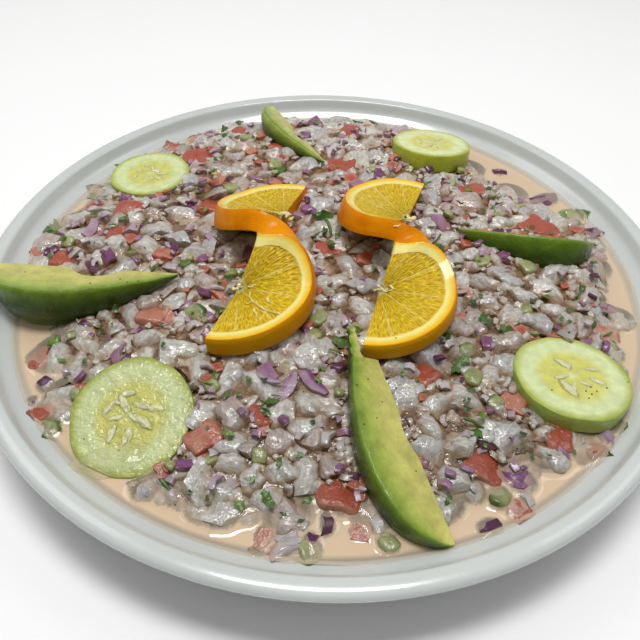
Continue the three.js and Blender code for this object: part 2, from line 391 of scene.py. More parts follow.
garnishNames = [name for name in cadNodes if name not in ("plate", "broth", "ceviche_heap")]
heapTree = treeOf("ceviche_heap")
saladTree = treeOf("ceviche_heap", "broth", "plate")
garnishTree = treeOf(*garnishNames)
wholeTree = treeOf(*cadNodes)
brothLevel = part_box("broth")[1].z


def pixelRay(x, y):
    offset = (x - viewLook["imageSize"] / 2, viewLook["imageSize"] / 2 - y)
    focal = viewLook["focalPixels"]
    return (viewTurn() @ Vector((offset[0] / focal, offset[1] / focal, -1))).normalized()


def pixelSpot(x, y, tree=saladTree):
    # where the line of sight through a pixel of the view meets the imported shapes, and a pixel's width there
    ray = pixelRay(x, y)
    place = tree.ray_cast(eyePlace(), ray)[0]
    depth = (place - eyePlace()).length * math.cos(ray.angle(viewTurn() @ down))
    return place, depth / viewLook["focalPixels"]


# plate

plateLook = {
    "radius": 173.0,
    "height": 36.0,
    "rimWidth": 8.6,
    "floor": 8.0,
    "footRadius": 100.0,
    "footWidth": 7.0,
    "steps": 72,
    "glaze": (0.61, 0.64, 0.622),
    "glazeShade": (0.57, 0.60, 0.582),
    # painted shade: how dark the outer side under the rim is painted
    "outsideTone": 0.62,
}


def plateProfile():
    # radius and height of its corners: round the foot and over the rim, then down the inside
    radius, height = plateLook["radius"], plateLook["height"]
    inner = radius - plateLook["rimWidth"]
    foot, footIn = plateLook["footRadius"], plateLook["footRadius"] - plateLook["footWidth"]
    base = plateLook["floor"]
    outside = (
        (0, 3), (footIn - 2, 3), (footIn, 2.8), (footIn + 0.8, 0.2), (footIn + 1.2, 0), (foot - 0.6, 0),
        (foot, 0.3), (foot + 2.4, 2.4), (130, 4), (147, 9), (157, 17), (radius - 8, 24.5),
        (radius - 2, height - 6), (radius - 0.2, height - 3.4), (radius, height - 2),
        (radius - 1.2, height - 0.5), (radius - 3.2, height), (inner + 2.2, height),
        (inner + 0.5, height - 0.5))
    inside = (
        (inner, height - 1.6), (inner - 1.6, height - 4.6), (inner - 2.4, height - 6.2), (158.6, 27.6),
        (155, 25.3), (152.4, 21.8), (149.5, 16), (144, 11), (138, 9.2), (132, 8.5), (117, base), (60, base),
        (0, base))
    return outside, inside


def wallHeight(radius):
    # height of the plate's inner face at a radius, both in metres
    radii, heights = zip(*reversed(plateProfile()[1]))
    return np.interp(radius / mm, radii, heights) * mm


def makePlate():
    outside, inside = plateProfile()
    profile = outside + inside
    plate = addPrimitive(bpy.ops.mesh.primitive_plane_add, "plate_glazed", size=mm)
    editAll(plate)
    bpy.ops.mesh.merge(type="CENTER")  # one corner is left to draw the profile from
    bpy.ops.transform.translate(value=(profile[0][0] * mm, 0, profile[0][1] * mm))
    for (r0, z0), (r1, z1) in zip(profile, profile[1:]):
        step = ((r1 - r0) * mm, 0, (z1 - z0) * mm)
        bpy.ops.mesh.extrude_region_move(TRANSFORM_OT_translate={"value": step})
    bpy.ops.mesh.select_all(action="SELECT")
    bpy.ops.mesh.spin(steps=plateLook["steps"], angle=fullTurn, center=(0, 0, 0), axis=(0, 0, 1))
    bpy.ops.mesh.select_all(action="SELECT")
    bpy.ops.mesh.remove_doubles(threshold=0.01 * mm)
    finishEdit()
    applyModifier(plate, "SUBSURF", levels=1, render_levels=1)
    smooth(plate)
    # painted shade: marks the outer side under the rim, which the glaze paints darker
    shaded = []
    for vertex in plate.data.vertices:
        outward = Vector((vertex.co.x, vertex.co.y, 0)).normalized()
        underRim = vertex.co.z < (plateLook["height"] - 3) * mm
        shaded.append(float(vertex.normal.dot(outward) > 0.1 and underRim))
    setFloat(plate.data, "outside", shaded)
    handOver(plate, "ceramic", [glazeMaterial()], "plate")


def glazeMaterial():
    startMaterial("stonewareGlaze")
    color = ramp(noiseOf(14.0, 3.0), (0.35, plateLook["glazeShade"]), (0.62, plateLook["glaze"]))
    speck = ramp(noiseOf(420.0, 1.0), (0.25, 0.80), (0.33, 1.0))
    color = mixColor(0.25, color, tinted(color, speck))
    # painted shade: the outer side under the rim is darker
    color = mixColor(readFloat("outside"), color, tinted(color, grey(plateLook["outsideTone"])))
    rough = ramp(noiseOf(60.0, 3.0), (0.3, 0.16), (0.7, 0.26))
    return setShader(BaseColor=color, Roughness=rough, Normal=bumpOf(noiseOf(35.0), 0.10, 0.0012), IOR=1.5,
                     CoatWeight=0.35, CoatRoughness=0.05)


makePlate()
print("plate is ready")


# bodies drawn as rings of points, for the shapes that primitives can't give

def loftRings(name, rings, strips=()):
    # rings are equal lists of points; strips tells the material number of each strip between two ring points
    count = len(rings[0])
    faces = []
    for start in range(0, (len(rings) - 1) * count, count):
        for i in range(count):
            j = (i + 1) % count
            faces.append((start + i, start + j, start + count + j, start + count + i))
    mesh = bpy.data.meshes.new(name)
    mesh.from_pydata([point for ring in rings for point in ring], [], faces)
    if strips:
        mesh.polygons.foreach_set("material_index", list(strips) * (len(rings) - 1))
    return addObject(name, mesh)


def closeEnds(piece, count):
    # fans close the first and the last ring
    total = len(piece.data.vertices)
    for start in (0, total - count):
        editChosen(piece, "VERT", lambda vertex: start <= vertex.index < start + count)
        bpy.ops.mesh.edge_face_add()
        bpy.ops.mesh.poke()
    finishEdit()


# cucumber slices

cucumberLook = {
    "sides": 96,
    "bevel": 0.45,
    "rings": (0.04, 0.14, 0.16, 0.20, 0.24),  # widths of the cut face's rings, from the skin to the core
    "seedRing": 0.27,
    "seedLength": 0.27,
    "fleshOuter": (0.43, 0.48, 0.10),
    "fleshInner": (0.62, 0.69, 0.33),
    "gel": (0.60, 0.59, 0.13),
    "skin": (0.17, 0.27, 0.015),
    "seed": (0.74, 0.74, 0.42),
    "pocket": (0.47, 0.46, 0.085),
    "film": {"spot": (106, 462), "size": (17.5, 6.5, 0.9), "heading": -18, "tint": (0.56, 0.58, 0.26),
             "alpha": 0.22},
    "slices": {
        "front_left": {
            "centre": (-80.6, -98.3, 32.1), "normal": (-0.05, -0.22, 0.974), "radius": 25.6, "thickness": 7.0,
            "oval": 1.055, "seeds": 4, "turn": 25, "peeled": 0.55, "ragged": 0.75, "dimpled": 1.7,
            "tone": (0.86, 0.85, 0.86), "flatHeading": -114, "flatDistance": 25.3,
            "rings": (0.14, 0.16, 0.20, 0.24),
            # seeds that show: x, y in pixels of the view, heading, length in mm
            "seedSpots": ((127, 393, 5, 8), (109, 408, 60, 8), (125, 404, -55, 10), (142, 405, -15, 8),
                          (142, 421, -38, 11), (111, 434, 75, 8), (126, 437, 80, 8), (133, 417, -40, 7))},
        "front_right": {
            "centre": (107.2, -71.5, 34.0), "normal": (0.046, 0.089, 0.995), "radius": 25.6, "thickness": 8.0,
            "oval": 1.0, "seeds": 4, "turn": 70, "peeled": 0.5, "tone": (1.06, 1.06, 1.18),
            "seedSpots": ((563, 363, -40, 9), (591, 369, -8, 7), (569, 388, -62, 11), (598, 381, -30, 7))},
        "back_left": {
            "centre": (-107.1, 75.3, 33.0), "normal": (-0.047, 0.03, 0.998), "radius": 23.0, "thickness": 7.0,
            "oval": 1.0, "seeds": 12, "turn": 140, "peeled": 0.6, "tone": (1.06, 1.06, 1.15)},
        "back_right": {
            "centre": (61.6, 108.6, 39.0), "normal": (0.041, 0.204, 0.978), "radius": 23.8, "thickness": 10.5,
            "oval": 1.0, "seeds": 10, "turn": 10, "peeled": 0.2, "skin": (0.32, 0.36, 0.010),
            "tone": (1.20, 1.18, 1.25)},
    },
}


def cucumberDisc(side, look):
    radius, thickness = look["radius"] * mm, look["thickness"] * mm
    disc = addPrimitive(bpy.ops.mesh.primitive_cylinder_add, f"cucumber_{side}",
                        vertices=cucumberLook["sides"], radius=radius, depth=thickness,
                        end_fill_type="NGON", location=(0, 0, -thickness / 2))
    settle(disc)
    for ring in look.get("rings", cucumberLook["rings"]):
        editChosen(disc, "FACE", lambda face: len(face.vertices) > 4)
        bpy.ops.mesh.inset(thickness=ring * radius, depth=0)
    bpy.ops.mesh.poke()
    leaveEdit()
    applyModifier(disc, "BEVEL", width=cucumberLook["bevel"] * mm, segments=2, limit_method="ANGLE",
                  angle_limit=math.radians(50))
    shapeCucumber(disc, look)
    return disc


def shapeCucumber(disc, look):
    # the seed zone sinks in three lobes, the edge wavers and the cut is not quite flat
    radius, thickness, turn = look["radius"] * mm, look["thickness"] * mm, look["turn"]
    heading = math.radians(look.get("flatHeading", 0))
    across = Vector((math.cos(heading), math.sin(heading), 0))
    for vertex in disc.data.vertices:
        x, y, z = vertex.co
        reach, angle = math.hypot(x, y) / radius, math.atan2(y, x)
        top = 1 if z > -thickness * 0.5 else -1
        lobe = 0.5 + 0.5 * math.cos(3 * angle + turn)
        sink = math.exp(-((reach - 0.33) / 0.18) ** 2) * (0.25 + 0.30 * lobe) * mm
        wave = 0.15 * mm * noise.noise(Vector((x, y, turn)) * 90)
        flat = 1 + 0.012 * math.sin(5 * angle + turn) + 0.008 * math.sin(9 * angle)
        vertex.co = (x * flat, y * flat * look["oval"], z - top * sink + wave * (reach < 0.97))
        if "flatHeading" in look:
            vertex.co -= across * max(0.0, vertex.co.dot(across) - look["flatDistance"] * mm)


def slicePlace(look):
    turn = Vector((0, 0, 1)).rotation_difference(Vector(look["normal"])).to_matrix().to_4x4()
    return Matrix.Translation(Vector(look["centre"]) * mm) @ turn


def spotOnSlice(look, x, y):
    # the place on a slice's upper face behind a pixel of the view
    fromWorld = slicePlace(look).inverted()
    eye, ray = fromWorld @ eyePlace(), fromWorld.to_3x3() @ pixelRay(x, y)
    return eye - ray * (eye.z / ray.z)


def seedPlaces(look):
    # place on the slice, heading and length of each seed
    rng = random.Random(look["turn"])
    radius = look["radius"] * mm
    for x, y, heading, long in look.get("seedSpots", ()):
        spot = spotOnSlice(look, x, y)
        yield spot.x, spot.y, math.radians(heading), long * mm
    for number in range(look["seeds"]):
        angle = fullTurn * (number + rng.uniform(-0.3, 0.3)) / look["seeds"] + math.radians(look["turn"])
        reach = radius * (cucumberLook["seedRing"] + rng.uniform(-0.12, 0.14))
        long = radius * cucumberLook["seedLength"] * rng.uniform(0.75, 1.1)
        yield reach * math.cos(angle), reach * math.sin(angle), angle + rng.uniform(-0.5, 0.5), long


def cucumberSeeds(side, look):
    seeds = []
    for number, (x, y, heading, long) in enumerate(seedPlaces(look)):
        # the seed, then the clear bed it lies in
        for pocket, grow, rise in ((0, 1.0, -0.30), (1, 1.22, -0.62)):
            seed = addPrimitive(bpy.ops.mesh.primitive_uv_sphere_add, f"seed_{side}_{number}", segments=20,
                                ring_count=12, radius=0.5)
            for vertex in seed.data.vertices:
                along, aside, up = vertex.co
                taper = 0.62 + 0.38 * math.cos(2.2 * (along - 0.12))
                wide = long * 0.36 * taper * grow ** 1.6
                vertex.co = (along * long * grow, aside * wide, up * long * 0.17)
            lumpy(seed, 1.5 * mm, look.get("ragged", 0.3) * mm, number)
            setFloat(seed.data, "pocket", [pocket] * len(seed.data.vertices))
            seed.data.transform(Matrix.Translation((x, y, rise * mm)) @ Matrix.Rotation(heading, 4, "Z"))
            seeds.append(seed)
    return seeds


def polarMap(piece, radius, oval):
    # the slice's own map: the centre is (0.5, 0.5) and the skin lies at 0.5 from it
    layer = piece.data.uv_layers.active or piece.data.uv_layers.new(name="slice")
    for loop in piece.data.loops:
        corner = piece.data.vertices[loop.vertex_index].co
        layer.data[loop.index].uv = (0.5 + 0.5 * corner.x / radius, 0.5 + 0.5 * corner.y / (radius * oval))


def wetShader(scale, glow, **inputs):
    # a wet cut surface: light goes in a little and the juices shine on it
    return setShader(SubsurfaceScale=scale, SubsurfaceRadius=glow, CoatNormal=inputs["Normal"], **inputs)


def cucumberSeedMaterial(side, look):
    startMaterial(f"cucumberSeed_{side}")
    color = ramp(noiseOf(300.0), (0.3, cucumberLook["gel"]), (0.5, cucumberLook["seed"]))
    color = mixColor(readFloat("pocket"), color, cucumberLook["pocket"])
    return wetCucumber(look, color)


def cucumberFleshMaterial(side, look):
    startMaterial(f"cucumberFlesh_{side}")
    centred = addNode("VectorMath", {"operation": "SUBTRACT"})
    feed(centred.inputs[0], addNode("UVMap").outputs["UV"])
    feed(centred.inputs[1], (0.5, 0.5, 0))
    length = addNode("VectorMath", {"operation": "LENGTH"})
    feed(length.inputs[0], centred.outputs[0])
    reach = plus(times(length.outputs["Value"], 2.0), times(minus(noiseOf(120.0), 0.5), 0.05))
    light, outer, gel = (cucumberLook[part] for part in ("fleshInner", "fleshOuter", "gel"))
    skin = look.get("skin", cucumberLook["skin"])
    edge = tuple(a + (b - a) * look["peeled"] for a, b in zip(skin, outer))
    color = ramp(reach, (0.0, light), (0.12, gel), (0.50, gel), (0.68, light), (0.84, light), (0.95, outer),
                 (0.985, edge))
    color = tinted(color, ramp(noiseOf(220.0, 4.0), (0.35, 0.90), (0.65, 1.08)))
    return wetCucumber(look, tinted(color, look["tone"]))


def wetCucumber(look, color):
    dimples = bumpOf(noiseOf(330.0), 0.6, look.get("dimpled", 0.7) * mm)
    return wetShader(0.004, (1.0, 1.0, 0.4), BaseColor=color, Roughness=0.34, Normal=dimples,
                     SubsurfaceWeight=0.25, CoatWeight=0.45, CoatRoughness=0.06, SpecularIORLevel=0.25)


def makeCucumbers():
    for side, look in cucumberLook["slices"].items():
        disc = cucumberDisc(side, look)
        polarMap(disc, look["radius"] * mm, look["oval"])
        disc.data.materials.append(cucumberFleshMaterial(side, look))
        kernel = cucumberSeedMaterial(side, look)
        seeds = cucumberSeeds(side, look)
        for seed in seeds:
            seed.data.materials.append(kernel)
        slice = joinAll(f"cucumber_{side}", [disc, *seeds])
        slice.data.transform(slicePlace(look))
        smooth(slice, 50)
        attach(slice, "root")
        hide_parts(f"cucumber_slice_{side}")


def makeFilm():
    # the juices stand on the front slice in a flat drop
    film, look = cucumberLook["film"], cucumberLook["slices"]["front_left"]
    drop = addPrimitive(bpy.ops.mesh.primitive_uv_sphere_add, "juice_film", segments=40, ring_count=20,
                        radius=1)
    editAll(drop)
    bpy.ops.transform.resize(value=tuple(value * mm for value in film["size"]))
    bpy.ops.transform.rotate(value=math.radians(film["heading"]), orient_axis="Z", center_override=(0, 0, 0))
    leaveEdit()
    lumpy(drop, 9 * mm, 0.8 * mm, 4)
    drop.data.transform(slicePlace(look) @ Matrix.Translation(spotOnSlice(look, *film["spot"])))
    smooth(drop)
    startMaterial("clearJuice")
    handOver(drop, "broth", [setShader(BaseColor=film["tint"], Alpha=film["alpha"], Roughness=0.03, IOR=1.4,
                                       CoatWeight=1.0, CoatRoughness=0.02)])


makeCucumbers()
makeFilm()
print("cucumber slices are ready")


# avocado slices

avocadoLook = {
    "stations": 64,
    "skinSteps": 20,
    "faceSteps": 12,
    "wedge": 52.0,
    "edgeRound": 0.9,
    "yellow": (0.54, 0.51, 0.14),
    "lime": (0.34, 0.42, 0.070),
    "green": (0.115, 0.205, 0.012),
    "darkGreen": (0.040, 0.080, 0.003),
    "slices": {
        "left": {"start": (-73, -17.2, 38), "end": (-163, -17, 41.5), "radius": 29, "roll": 20,
                 "bluntAtStart": False},
        "back": {"start": (-3, 86, 37), "end": (-38, 145, 40), "radius": 16, "roll": 28,
                 "bluntAtStart": False, "fresh": 0.35},
        "right": {"start": (142, 27, 29), "end": (59, 36, 30), "radius": 26, "roll": 40,
                  "bluntAtStart": True},
        "front": {"start": (48.8, -147.8, 27.2), "end": (21.9, -68.4, 38.5), "radius": 24.1, "roll": 26.2,
                  "wedge": 42, "bluntAtStart": True, "keep": 0.78, "tongueWidth": 5.5, "tongueReach": 16.5},
    },
}


def avocadoSection(look, x, inner, skin, ragged, low=0.0, high=1.0):
    # one section, from the inner edge over the upper cut face, round the skin side and back
    sector = math.radians(look.get("wedge", avocadoLook["wedge"]))
    points, across = [], []
    faceSteps, skinSteps = avocadoLook["faceSteps"], avocadoLook["skinSteps"]

    def add(reach, share, mark):
        angle = sector * (low + (high - low) * share)
        spot = Vector((x, reach * math.cos(angle), reach * math.sin(angle)))
        lump = ragged * noise.noise(spot * (0.16 + ragged * 0.3))
        reach += lump
        points.append(Vector((x + lump * (ragged > 0.3), reach * math.cos(angle), -reach * math.sin(angle))))
        across.append(mark)

    rounding = min(avocadoLook["edgeRound"], 0.3 * (skin - inner))
    for i in range(faceSteps + 1):
        add(inner + (skin - rounding - inner) * i / faceSteps, 0.01, i / faceSteps)
    for i in range(skinSteps + 1):
        share = i / skinSteps
        ease = min(1, 6 * math.sin(math.pi * share))
        add(skin - rounding * (1 - ease) * 0.4, 0.03 + 0.94 * share, 1.0 + share)
    for i in range(faceSteps, -1, -1):
        add(inner + (skin - rounding - inner) * i / faceSteps, 1.0, i / faceSteps)
    return points, across


def avocadoSkin(look, s):
    # the outline of a half avocado: s runs from 0 at the blunt end to 1 at the tip
    fullest = 0.385
    return look["radius"] * math.sqrt(s) * (1 - s) / fullest + 1.2


def avocadoSections(look, length):
    # each section's points, from one end to the other, with the hollow that the stone left
    keep = look.get("keep", 1.0)  # a broken slice ends before the tip
    depth = 3.0 if keep < 1 else 0.36 * look["radius"]
    for station in range(avocadoLook["stations"] + 1):
        s = 0.004 + 0.984 * (1 - math.cos(math.pi * station / avocadoLook["stations"])) / 2
        along = (s * length - 0.55 * length) / (0.15 * length)
        inner = max(0.9, depth * max(0.0, 1 - along * along))
        skin = max(avocadoSkin(look, s * keep), inner + 0.6)
        ragged = 0.22 + (1.1 if keep < 1 and s > 0.975 else 0)
        yield avocadoSection(look, (s if look["bluntAtStart"] else 1 - s) * length, inner, skin, ragged)
    if "tongueReach" in look:  # a torn strip goes on past the broken tip
        skin = avocadoSkin(look, keep)
        for step in range(13):
            share = step / 12
            x = length + 0.3 + look["tongueReach"] * share
            inner = skin - look["tongueWidth"] - 2.5 * share
            wide = skin - 0.3 - 4.7 * share
            yield avocadoSection(look, x, inner, wide, 1.3, 0.08 + 0.1 * share, 0.8 - 0.2 * share)


def makeAvocado(side, look, material):
    start, end = Vector(look["start"]), Vector(look["end"])
    axis = (end - start).normalized()
    outward = Vector((0, 0, 1)).cross(axis).normalized()
    roll = math.radians(look["roll"])
    raised = outward * math.cos(roll) + axis.cross(outward) * math.sin(roll)
    frameTurn = Matrix((axis, raised, axis.cross(raised))).transposed()
    rings, marks = [], []
    for points, across in avocadoSections(look, (end - start).length):
        rings.append([(start + frameTurn @ point) * mm for point in points])
        marks += [mark - look.get("fresh", 0) * (mark > 1) for mark in across]
    slice = loftRings(f"avocado_{side}", rings)
    setFloat(slice.data, "across", marks)
    closeEnds(slice, len(rings[0]))
    smooth(slice, 40)
    handOver(slice, "avocado", [material], f"avocado_slice_{side}")


def avocadoMaterial():
    startMaterial("avocadoFlesh")
    yellow, lime, green, dark = (avocadoLook[tone] for tone in ("yellow", "lime", "green", "darkGreen"))
    # the mark is 0 at the inner edge, 1 at the near edge of the skin side and 2 at its far edge
    mark = plus(readFloat("across"), times(minus(noiseOf(90.0, 3.0), 0.5), 0.30))
    color = ramp(times(mark, 0.5), (0.0, yellow), (0.20, yellow), (0.40, lime), (0.54, green), (0.72, dark),
                 (0.90, dark), (1.0, green))
    color = tinted(color, ramp(noiseOf(160.0, 4.0), (0.3, 0.80), (0.7, 1.18)))
    normal = bumpOf(noiseOf(560.0, 3.0), 0.55, 0.0008)
    normal = bumpOf(noiseOf(110.0), 0.30, 0.0016, normal)
    rough = ramp(noiseOf(110.0, 3.0), (0.35, 0.22), (0.65, 0.45))
    return wetShader(0.003, (1.0, 1.0, 0.3), BaseColor=color, Roughness=rough, Normal=normal,
                     SubsurfaceWeight=0.12, CoatWeight=0.45, CoatRoughness=0.07, SpecularIORLevel=0.10)


avocadoFlesh = avocadoMaterial()
for side, look in avocadoLook["slices"].items():
    makeAvocado(side, look, avocadoFlesh)
print("avocado slices are ready")


# orange twists

orangeLook = {
    "radius": 35.8,
    "peelDepth": 6.5,
    "coreRadius": 2.2,
    "bulge": 0.7,
    "peelSteps": 8,
    "faceSteps": 18,
    "backSteps": 60,
    "blendSteps": 44,
    "frontSteps": 60,
    "blendBack": 20.0,
    "blendFront": 58.0,
    "segmentAngle": 34.0,
    "flesh": (0.70, 0.455, 0.006),
    "fleshLight": (0.82, 0.63, 0.030),
    "fleshDeep": (0.56, 0.32, 0.002),
    "membrane": (0.86, 0.72, 0.26),
    "pith": (0.88, 0.77, 0.25),
    "pithOuter": (0.86, 0.55, 0.012),
    "peel": (0.83, 0.285, 0.0),
    "peelShade": (0.70, 0.20, 0.0),
    "peelGolden": (0.70, 0.34, 0.002),
    "crumb": (0.84, 0.70, 0.28),
    "crumbs": 9,
    # torn strings of pith that lie on the cut faces: x, y in pixels of the view, heading, length in mm
    "strings": ((252, 286, 25, 5), (250, 297, -75, 8), (250, 303, 15, 5), (263, 308, -32, 10),
                (276, 313, -8, 8), (256, 314, -64, 9), (268, 300, -70, 6), (389, 291, 25, 5),
                (391, 287, -50, 4), (398, 226, 10, 5), (404, 222, 40, 4), (277, 213, -30, 5),
                (281, 217, 60, 4)),
    "twists": {
        "right": {
            "back": {"centre": (40.6, 25.5, 43.2), "heading": -109.5, "pitch": 1.2, "bank": 6.6,
                     "lift": 35.8, "liftSpan": 121, "hinge": 9.2, "end": 13.6},
            "front": {"centre": (23.5, -31.3, 44.6), "heading": 76, "pitch": 0.7, "bank": -7.1,
                      "lift": 35.8, "liftSpan": 82, "hinge": 8.0, "end": 9.0},
        },
        "left": {
            "back": {"centre": (-24.7, 25.5, 43.3), "heading": -107.6, "pitch": -8.0, "bank": -0.6,
                     "lift": 34.9, "liftSpan": 118, "hinge": 10.1, "end": 13.0},
            "front": {"centre": (-42.7, -30.0, 42.0), "heading": 70.7, "pitch": -2.4, "bank": -9.1,
                      "lift": 54.4, "liftSpan": 80, "hinge": 8.7, "end": 10.0},
        },
    },
}


def halfDisc(look):
    # one flat half of a twist: corners of its cross section at an angle from the hinge
    pitch, bank, heading = (Matrix.Rotation(math.radians(look[key]), 3, axis)
                            for key, axis in (("pitch", "X"), ("bank", "Y"), ("heading", "Z")))
    turn = pitch @ bank @ heading
    toHinge, toSide, normal = turn.col[0].copy(), -turn.col[1], turn.col[2].copy()
    centre = Vector(look["centre"])

    def at(angle):
        lift = math.radians(look["lift"]) * max(0.0, 1 - angle / math.radians(look["liftSpan"])) ** 1.3
        flat = toHinge * math.cos(angle) + toSide * math.sin(angle)
        outward = flat * math.cos(lift) + normal * math.sin(lift)
        faceUp = normal * math.cos(lift) - flat * math.sin(lift)
        thickness = look["hinge"] + (look["end"] - look["hinge"]) * min(1.0, angle / (math.pi / 2))
        face = centre + outward * orangeLook["radius"]
        coreFace = centre + outward * orangeLook["coreRadius"]
        return {"face": face, "under": face - faceUp * thickness, "coreFace": coreFace,
                "coreUnder": coreFace - faceUp * thickness, "thickness": thickness}

    return at


def hermite(start, startSlope, end, endSlope, t):
    # a curve between two points with a slope given at each
    return (start * (2 * t ** 3 - 3 * t ** 2 + 1) + startSlope * (t ** 3 - 2 * t ** 2 + t)
            + end * (-2 * t ** 3 + 3 * t ** 2) + endSlope * (t ** 3 - t ** 2))


def twistBands(look):
    # the band along its length: its corners (peel top, peel low, inner low, inner top), its angle,
    # and how far in it reaches, from 0 for the peel alone to 1 for the whole half disc
    backAt, frontAt = halfDisc(look["back"]), halfDisc(look["front"])
    blendBack, blendFront = (math.radians(orangeLook[end]) for end in ("blendBack", "blendFront"))
    arc, step = blendBack + blendFront, math.radians(2)
    bands = []
    for k in range(orangeLook["backSteps"]):
        angle = math.pi + (blendBack - math.pi) * k / orangeLook["backSteps"]
        at = backAt(angle)
        bands.append((at["face"], at["under"], at["coreUnder"], at["coreFace"], angle, 1.0))
    start, before = backAt(blendBack), backAt(blendBack + step)
    end, after = frontAt(blendFront), frontAt(blendFront + step)

    def edge(t, first, second):
        # the band turns over between its halves, so an upper edge goes on as a lower one
        return hermite(start[first], (start[first] - before[first]) * (arc / step), end[second],
                       (after[second] - end[second]) * (arc / step), t)

    def middle(t):
        return (edge(t, "face", "under") + edge(t, "under", "face")) * 0.5

    hingeAt = blendBack / arc
    for k in range(orangeLook["blendSteps"] + 1):
        t = k / orangeLook["blendSteps"]
        acrossBand = (edge(t, "face", "under") - edge(t, "under", "face")).normalized()
        alongBand = (middle(t + 0.01) - middle(t - 0.01)).normalized()
        inward = alongBand.cross(acrossBand).normalized() * orangeLook["peelDepth"]
        halfWidth = (start["thickness"] + (end["thickness"] - start["thickness"]) * t) / 2
        peelTop, peelLow = middle(t) + acrossBand * halfWidth, middle(t) - acrossBand * halfWidth
        if t < hingeAt:
            angle, wide = blendBack * (1 - t / hingeAt), unit((hingeAt - 0.06 - t) / 0.05)
            at = backAt(angle)
            farTop, farLow = at["coreFace"], at["coreUnder"]
        else:
            angle, wide = blendFront * (t - hingeAt) / (1 - hingeAt), unit((t - hingeAt - 0.02) / 0.05)
            at = frontAt(angle)
            farTop, farLow = at["coreUnder"], at["coreFace"]
        innerTop, innerLow = (peelTop - inward).lerp(farTop, wide), (peelLow - inward).lerp(farLow, wide)
        bands.append((peelTop, peelLow, innerLow, innerTop, angle, wide))
    for k in range(1, orangeLook["frontSteps"] + 1):
        angle = blendFront + (math.pi - blendFront) * k / orangeLook["frontSteps"]
        at = frontAt(angle)
        bands.append((at["under"], at["face"], at["coreFace"], at["coreUnder"], angle, 1.0))
    return bands


def segmentsAt(angle):
    # counts the segments from the hinge: a whole number lies on a membrane between two of them
    return math.degrees(angle) / orangeLook["segmentAngle"] + 0.35


def segmentMark(angle):
    # 1 on a membrane, 0 in the middle of a segment
    share = segmentsAt(angle) % 1.0
    return math.exp(-(min(share, 1 - share) / 0.035) ** 2)


def twistRing(band):
    # one ring of points round the band's cross section, and how far out on the slice each lies
    peelTop, peelLow, innerLow, innerTop, angle, wide = band
    depth = (peelTop - innerTop).length
    outward = ((peelTop - innerTop) + (peelLow - innerLow)).normalized()
    faceUp = (peelTop - peelLow).normalized()
    peelSteps, faceSteps = orangeLook["peelSteps"], orangeLook["faceSteps"]
    points, reach = [], []
    for i in range(peelSteps + 1):
        share = i / peelSteps
        bulge = orangeLook["bulge"] * (1 - (2 * share - 1) ** 4)
        points.append(peelTop.lerp(peelLow, share) + outward * (bulge - orangeLook["bulge"]))
        reach.append(1.0)
    for edge, inner, side in ((peelLow, innerLow, -1), (innerTop, peelTop, 1)):
        for i in range(1, faceSteps):
            share = i / faceSteps
            place = edge.lerp(inner, share)
            rim = (share if side < 0 else 1 - share) * depth / orangeLook["radius"]
            pulp = noise.noise(place * 0.55) * 0.40 + noise.noise(place * 1.3) * 0.26
            relief = unit((rim - 0.14) / 0.04) * (pulp - 0.35 - 0.30 * segmentMark(angle)) * wide
            points.append(place + faceUp * (side * relief))
            reach.append(1 - rim)
        if side < 0:
            points += [innerLow.copy(), innerTop.copy()]
            reach += [1 - depth / orangeLook["radius"]] * 2
    return points, reach


def makeTwist(side, look, peel, flesh):
    rings = []
    marks = {"reach": [], "segment": [], "forward": [], "open": []}
    bands = twistBands(look)
    back, front = orangeLook["blendBack"], orangeLook["blendFront"]
    hinge = orangeLook["backSteps"] + orangeLook["blendSteps"] * back / (back + front)
    for number, band in enumerate(bands):
        points, reach = twistRing(band)
        angle, count = band[4], len(points)
        rings.append([point * mm for point in points])
        marks["reach"] += reach
        marks["segment"] += [segmentsAt(angle)] * count
        # the peel turns golden towards the far end of the front half
        marks["forward"] += [unit((number / len(bands) - 0.62) / 0.25)] * count
        # the pith is wider where the front half leaves the hinge
        marks["open"] += [max(0.0, 1 - math.degrees(angle) / 55) if number > hinge else 0.0] * count
    strips = [int(i >= orangeLook["peelSteps"]) for i in range(len(rings[0]))]
    twist = loftRings(f"orange_{side}", rings, strips)
    for name, values in marks.items():
        setFloat(twist.data, name, values)
    closeEnds(twist, len(rings[0]))
    smooth(twist, 60)
    twist.data.materials.append(peel)
    twist.data.materials.append(flesh)
    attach(twist, "root")
    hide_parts(f"orange_twist_{side}")


def peelMaterial():
    startMaterial("orangePeel")
    color = ramp(noiseOf(55.0, 3.0), (0.35, orangeLook["peelShade"]), (0.6, orangeLook["peel"]))
    color = mixColor(readFloat("forward"), color, orangeLook["peelGolden"])
    pores = addNode("TexVoronoi", Vector=objectPlace(), Scale=620.0).outputs["Distance"]
    normal = bumpOf(ramp(pores, (0.0, 0), (0.35, 1)), 0.35, 0.0004)
    normal = bumpOf(noiseOf(90.0), 0.3, 0.001, normal)
    return setShader(BaseColor=color, Roughness=0.30, Normal=normal, SubsurfaceWeight=0.08,
                     SubsurfaceRadius=(1.0, 0.4, 0.1), SubsurfaceScale=0.003, CoatWeight=0.10,
                     CoatRoughness=0.12, SpecularIORLevel=0.05)


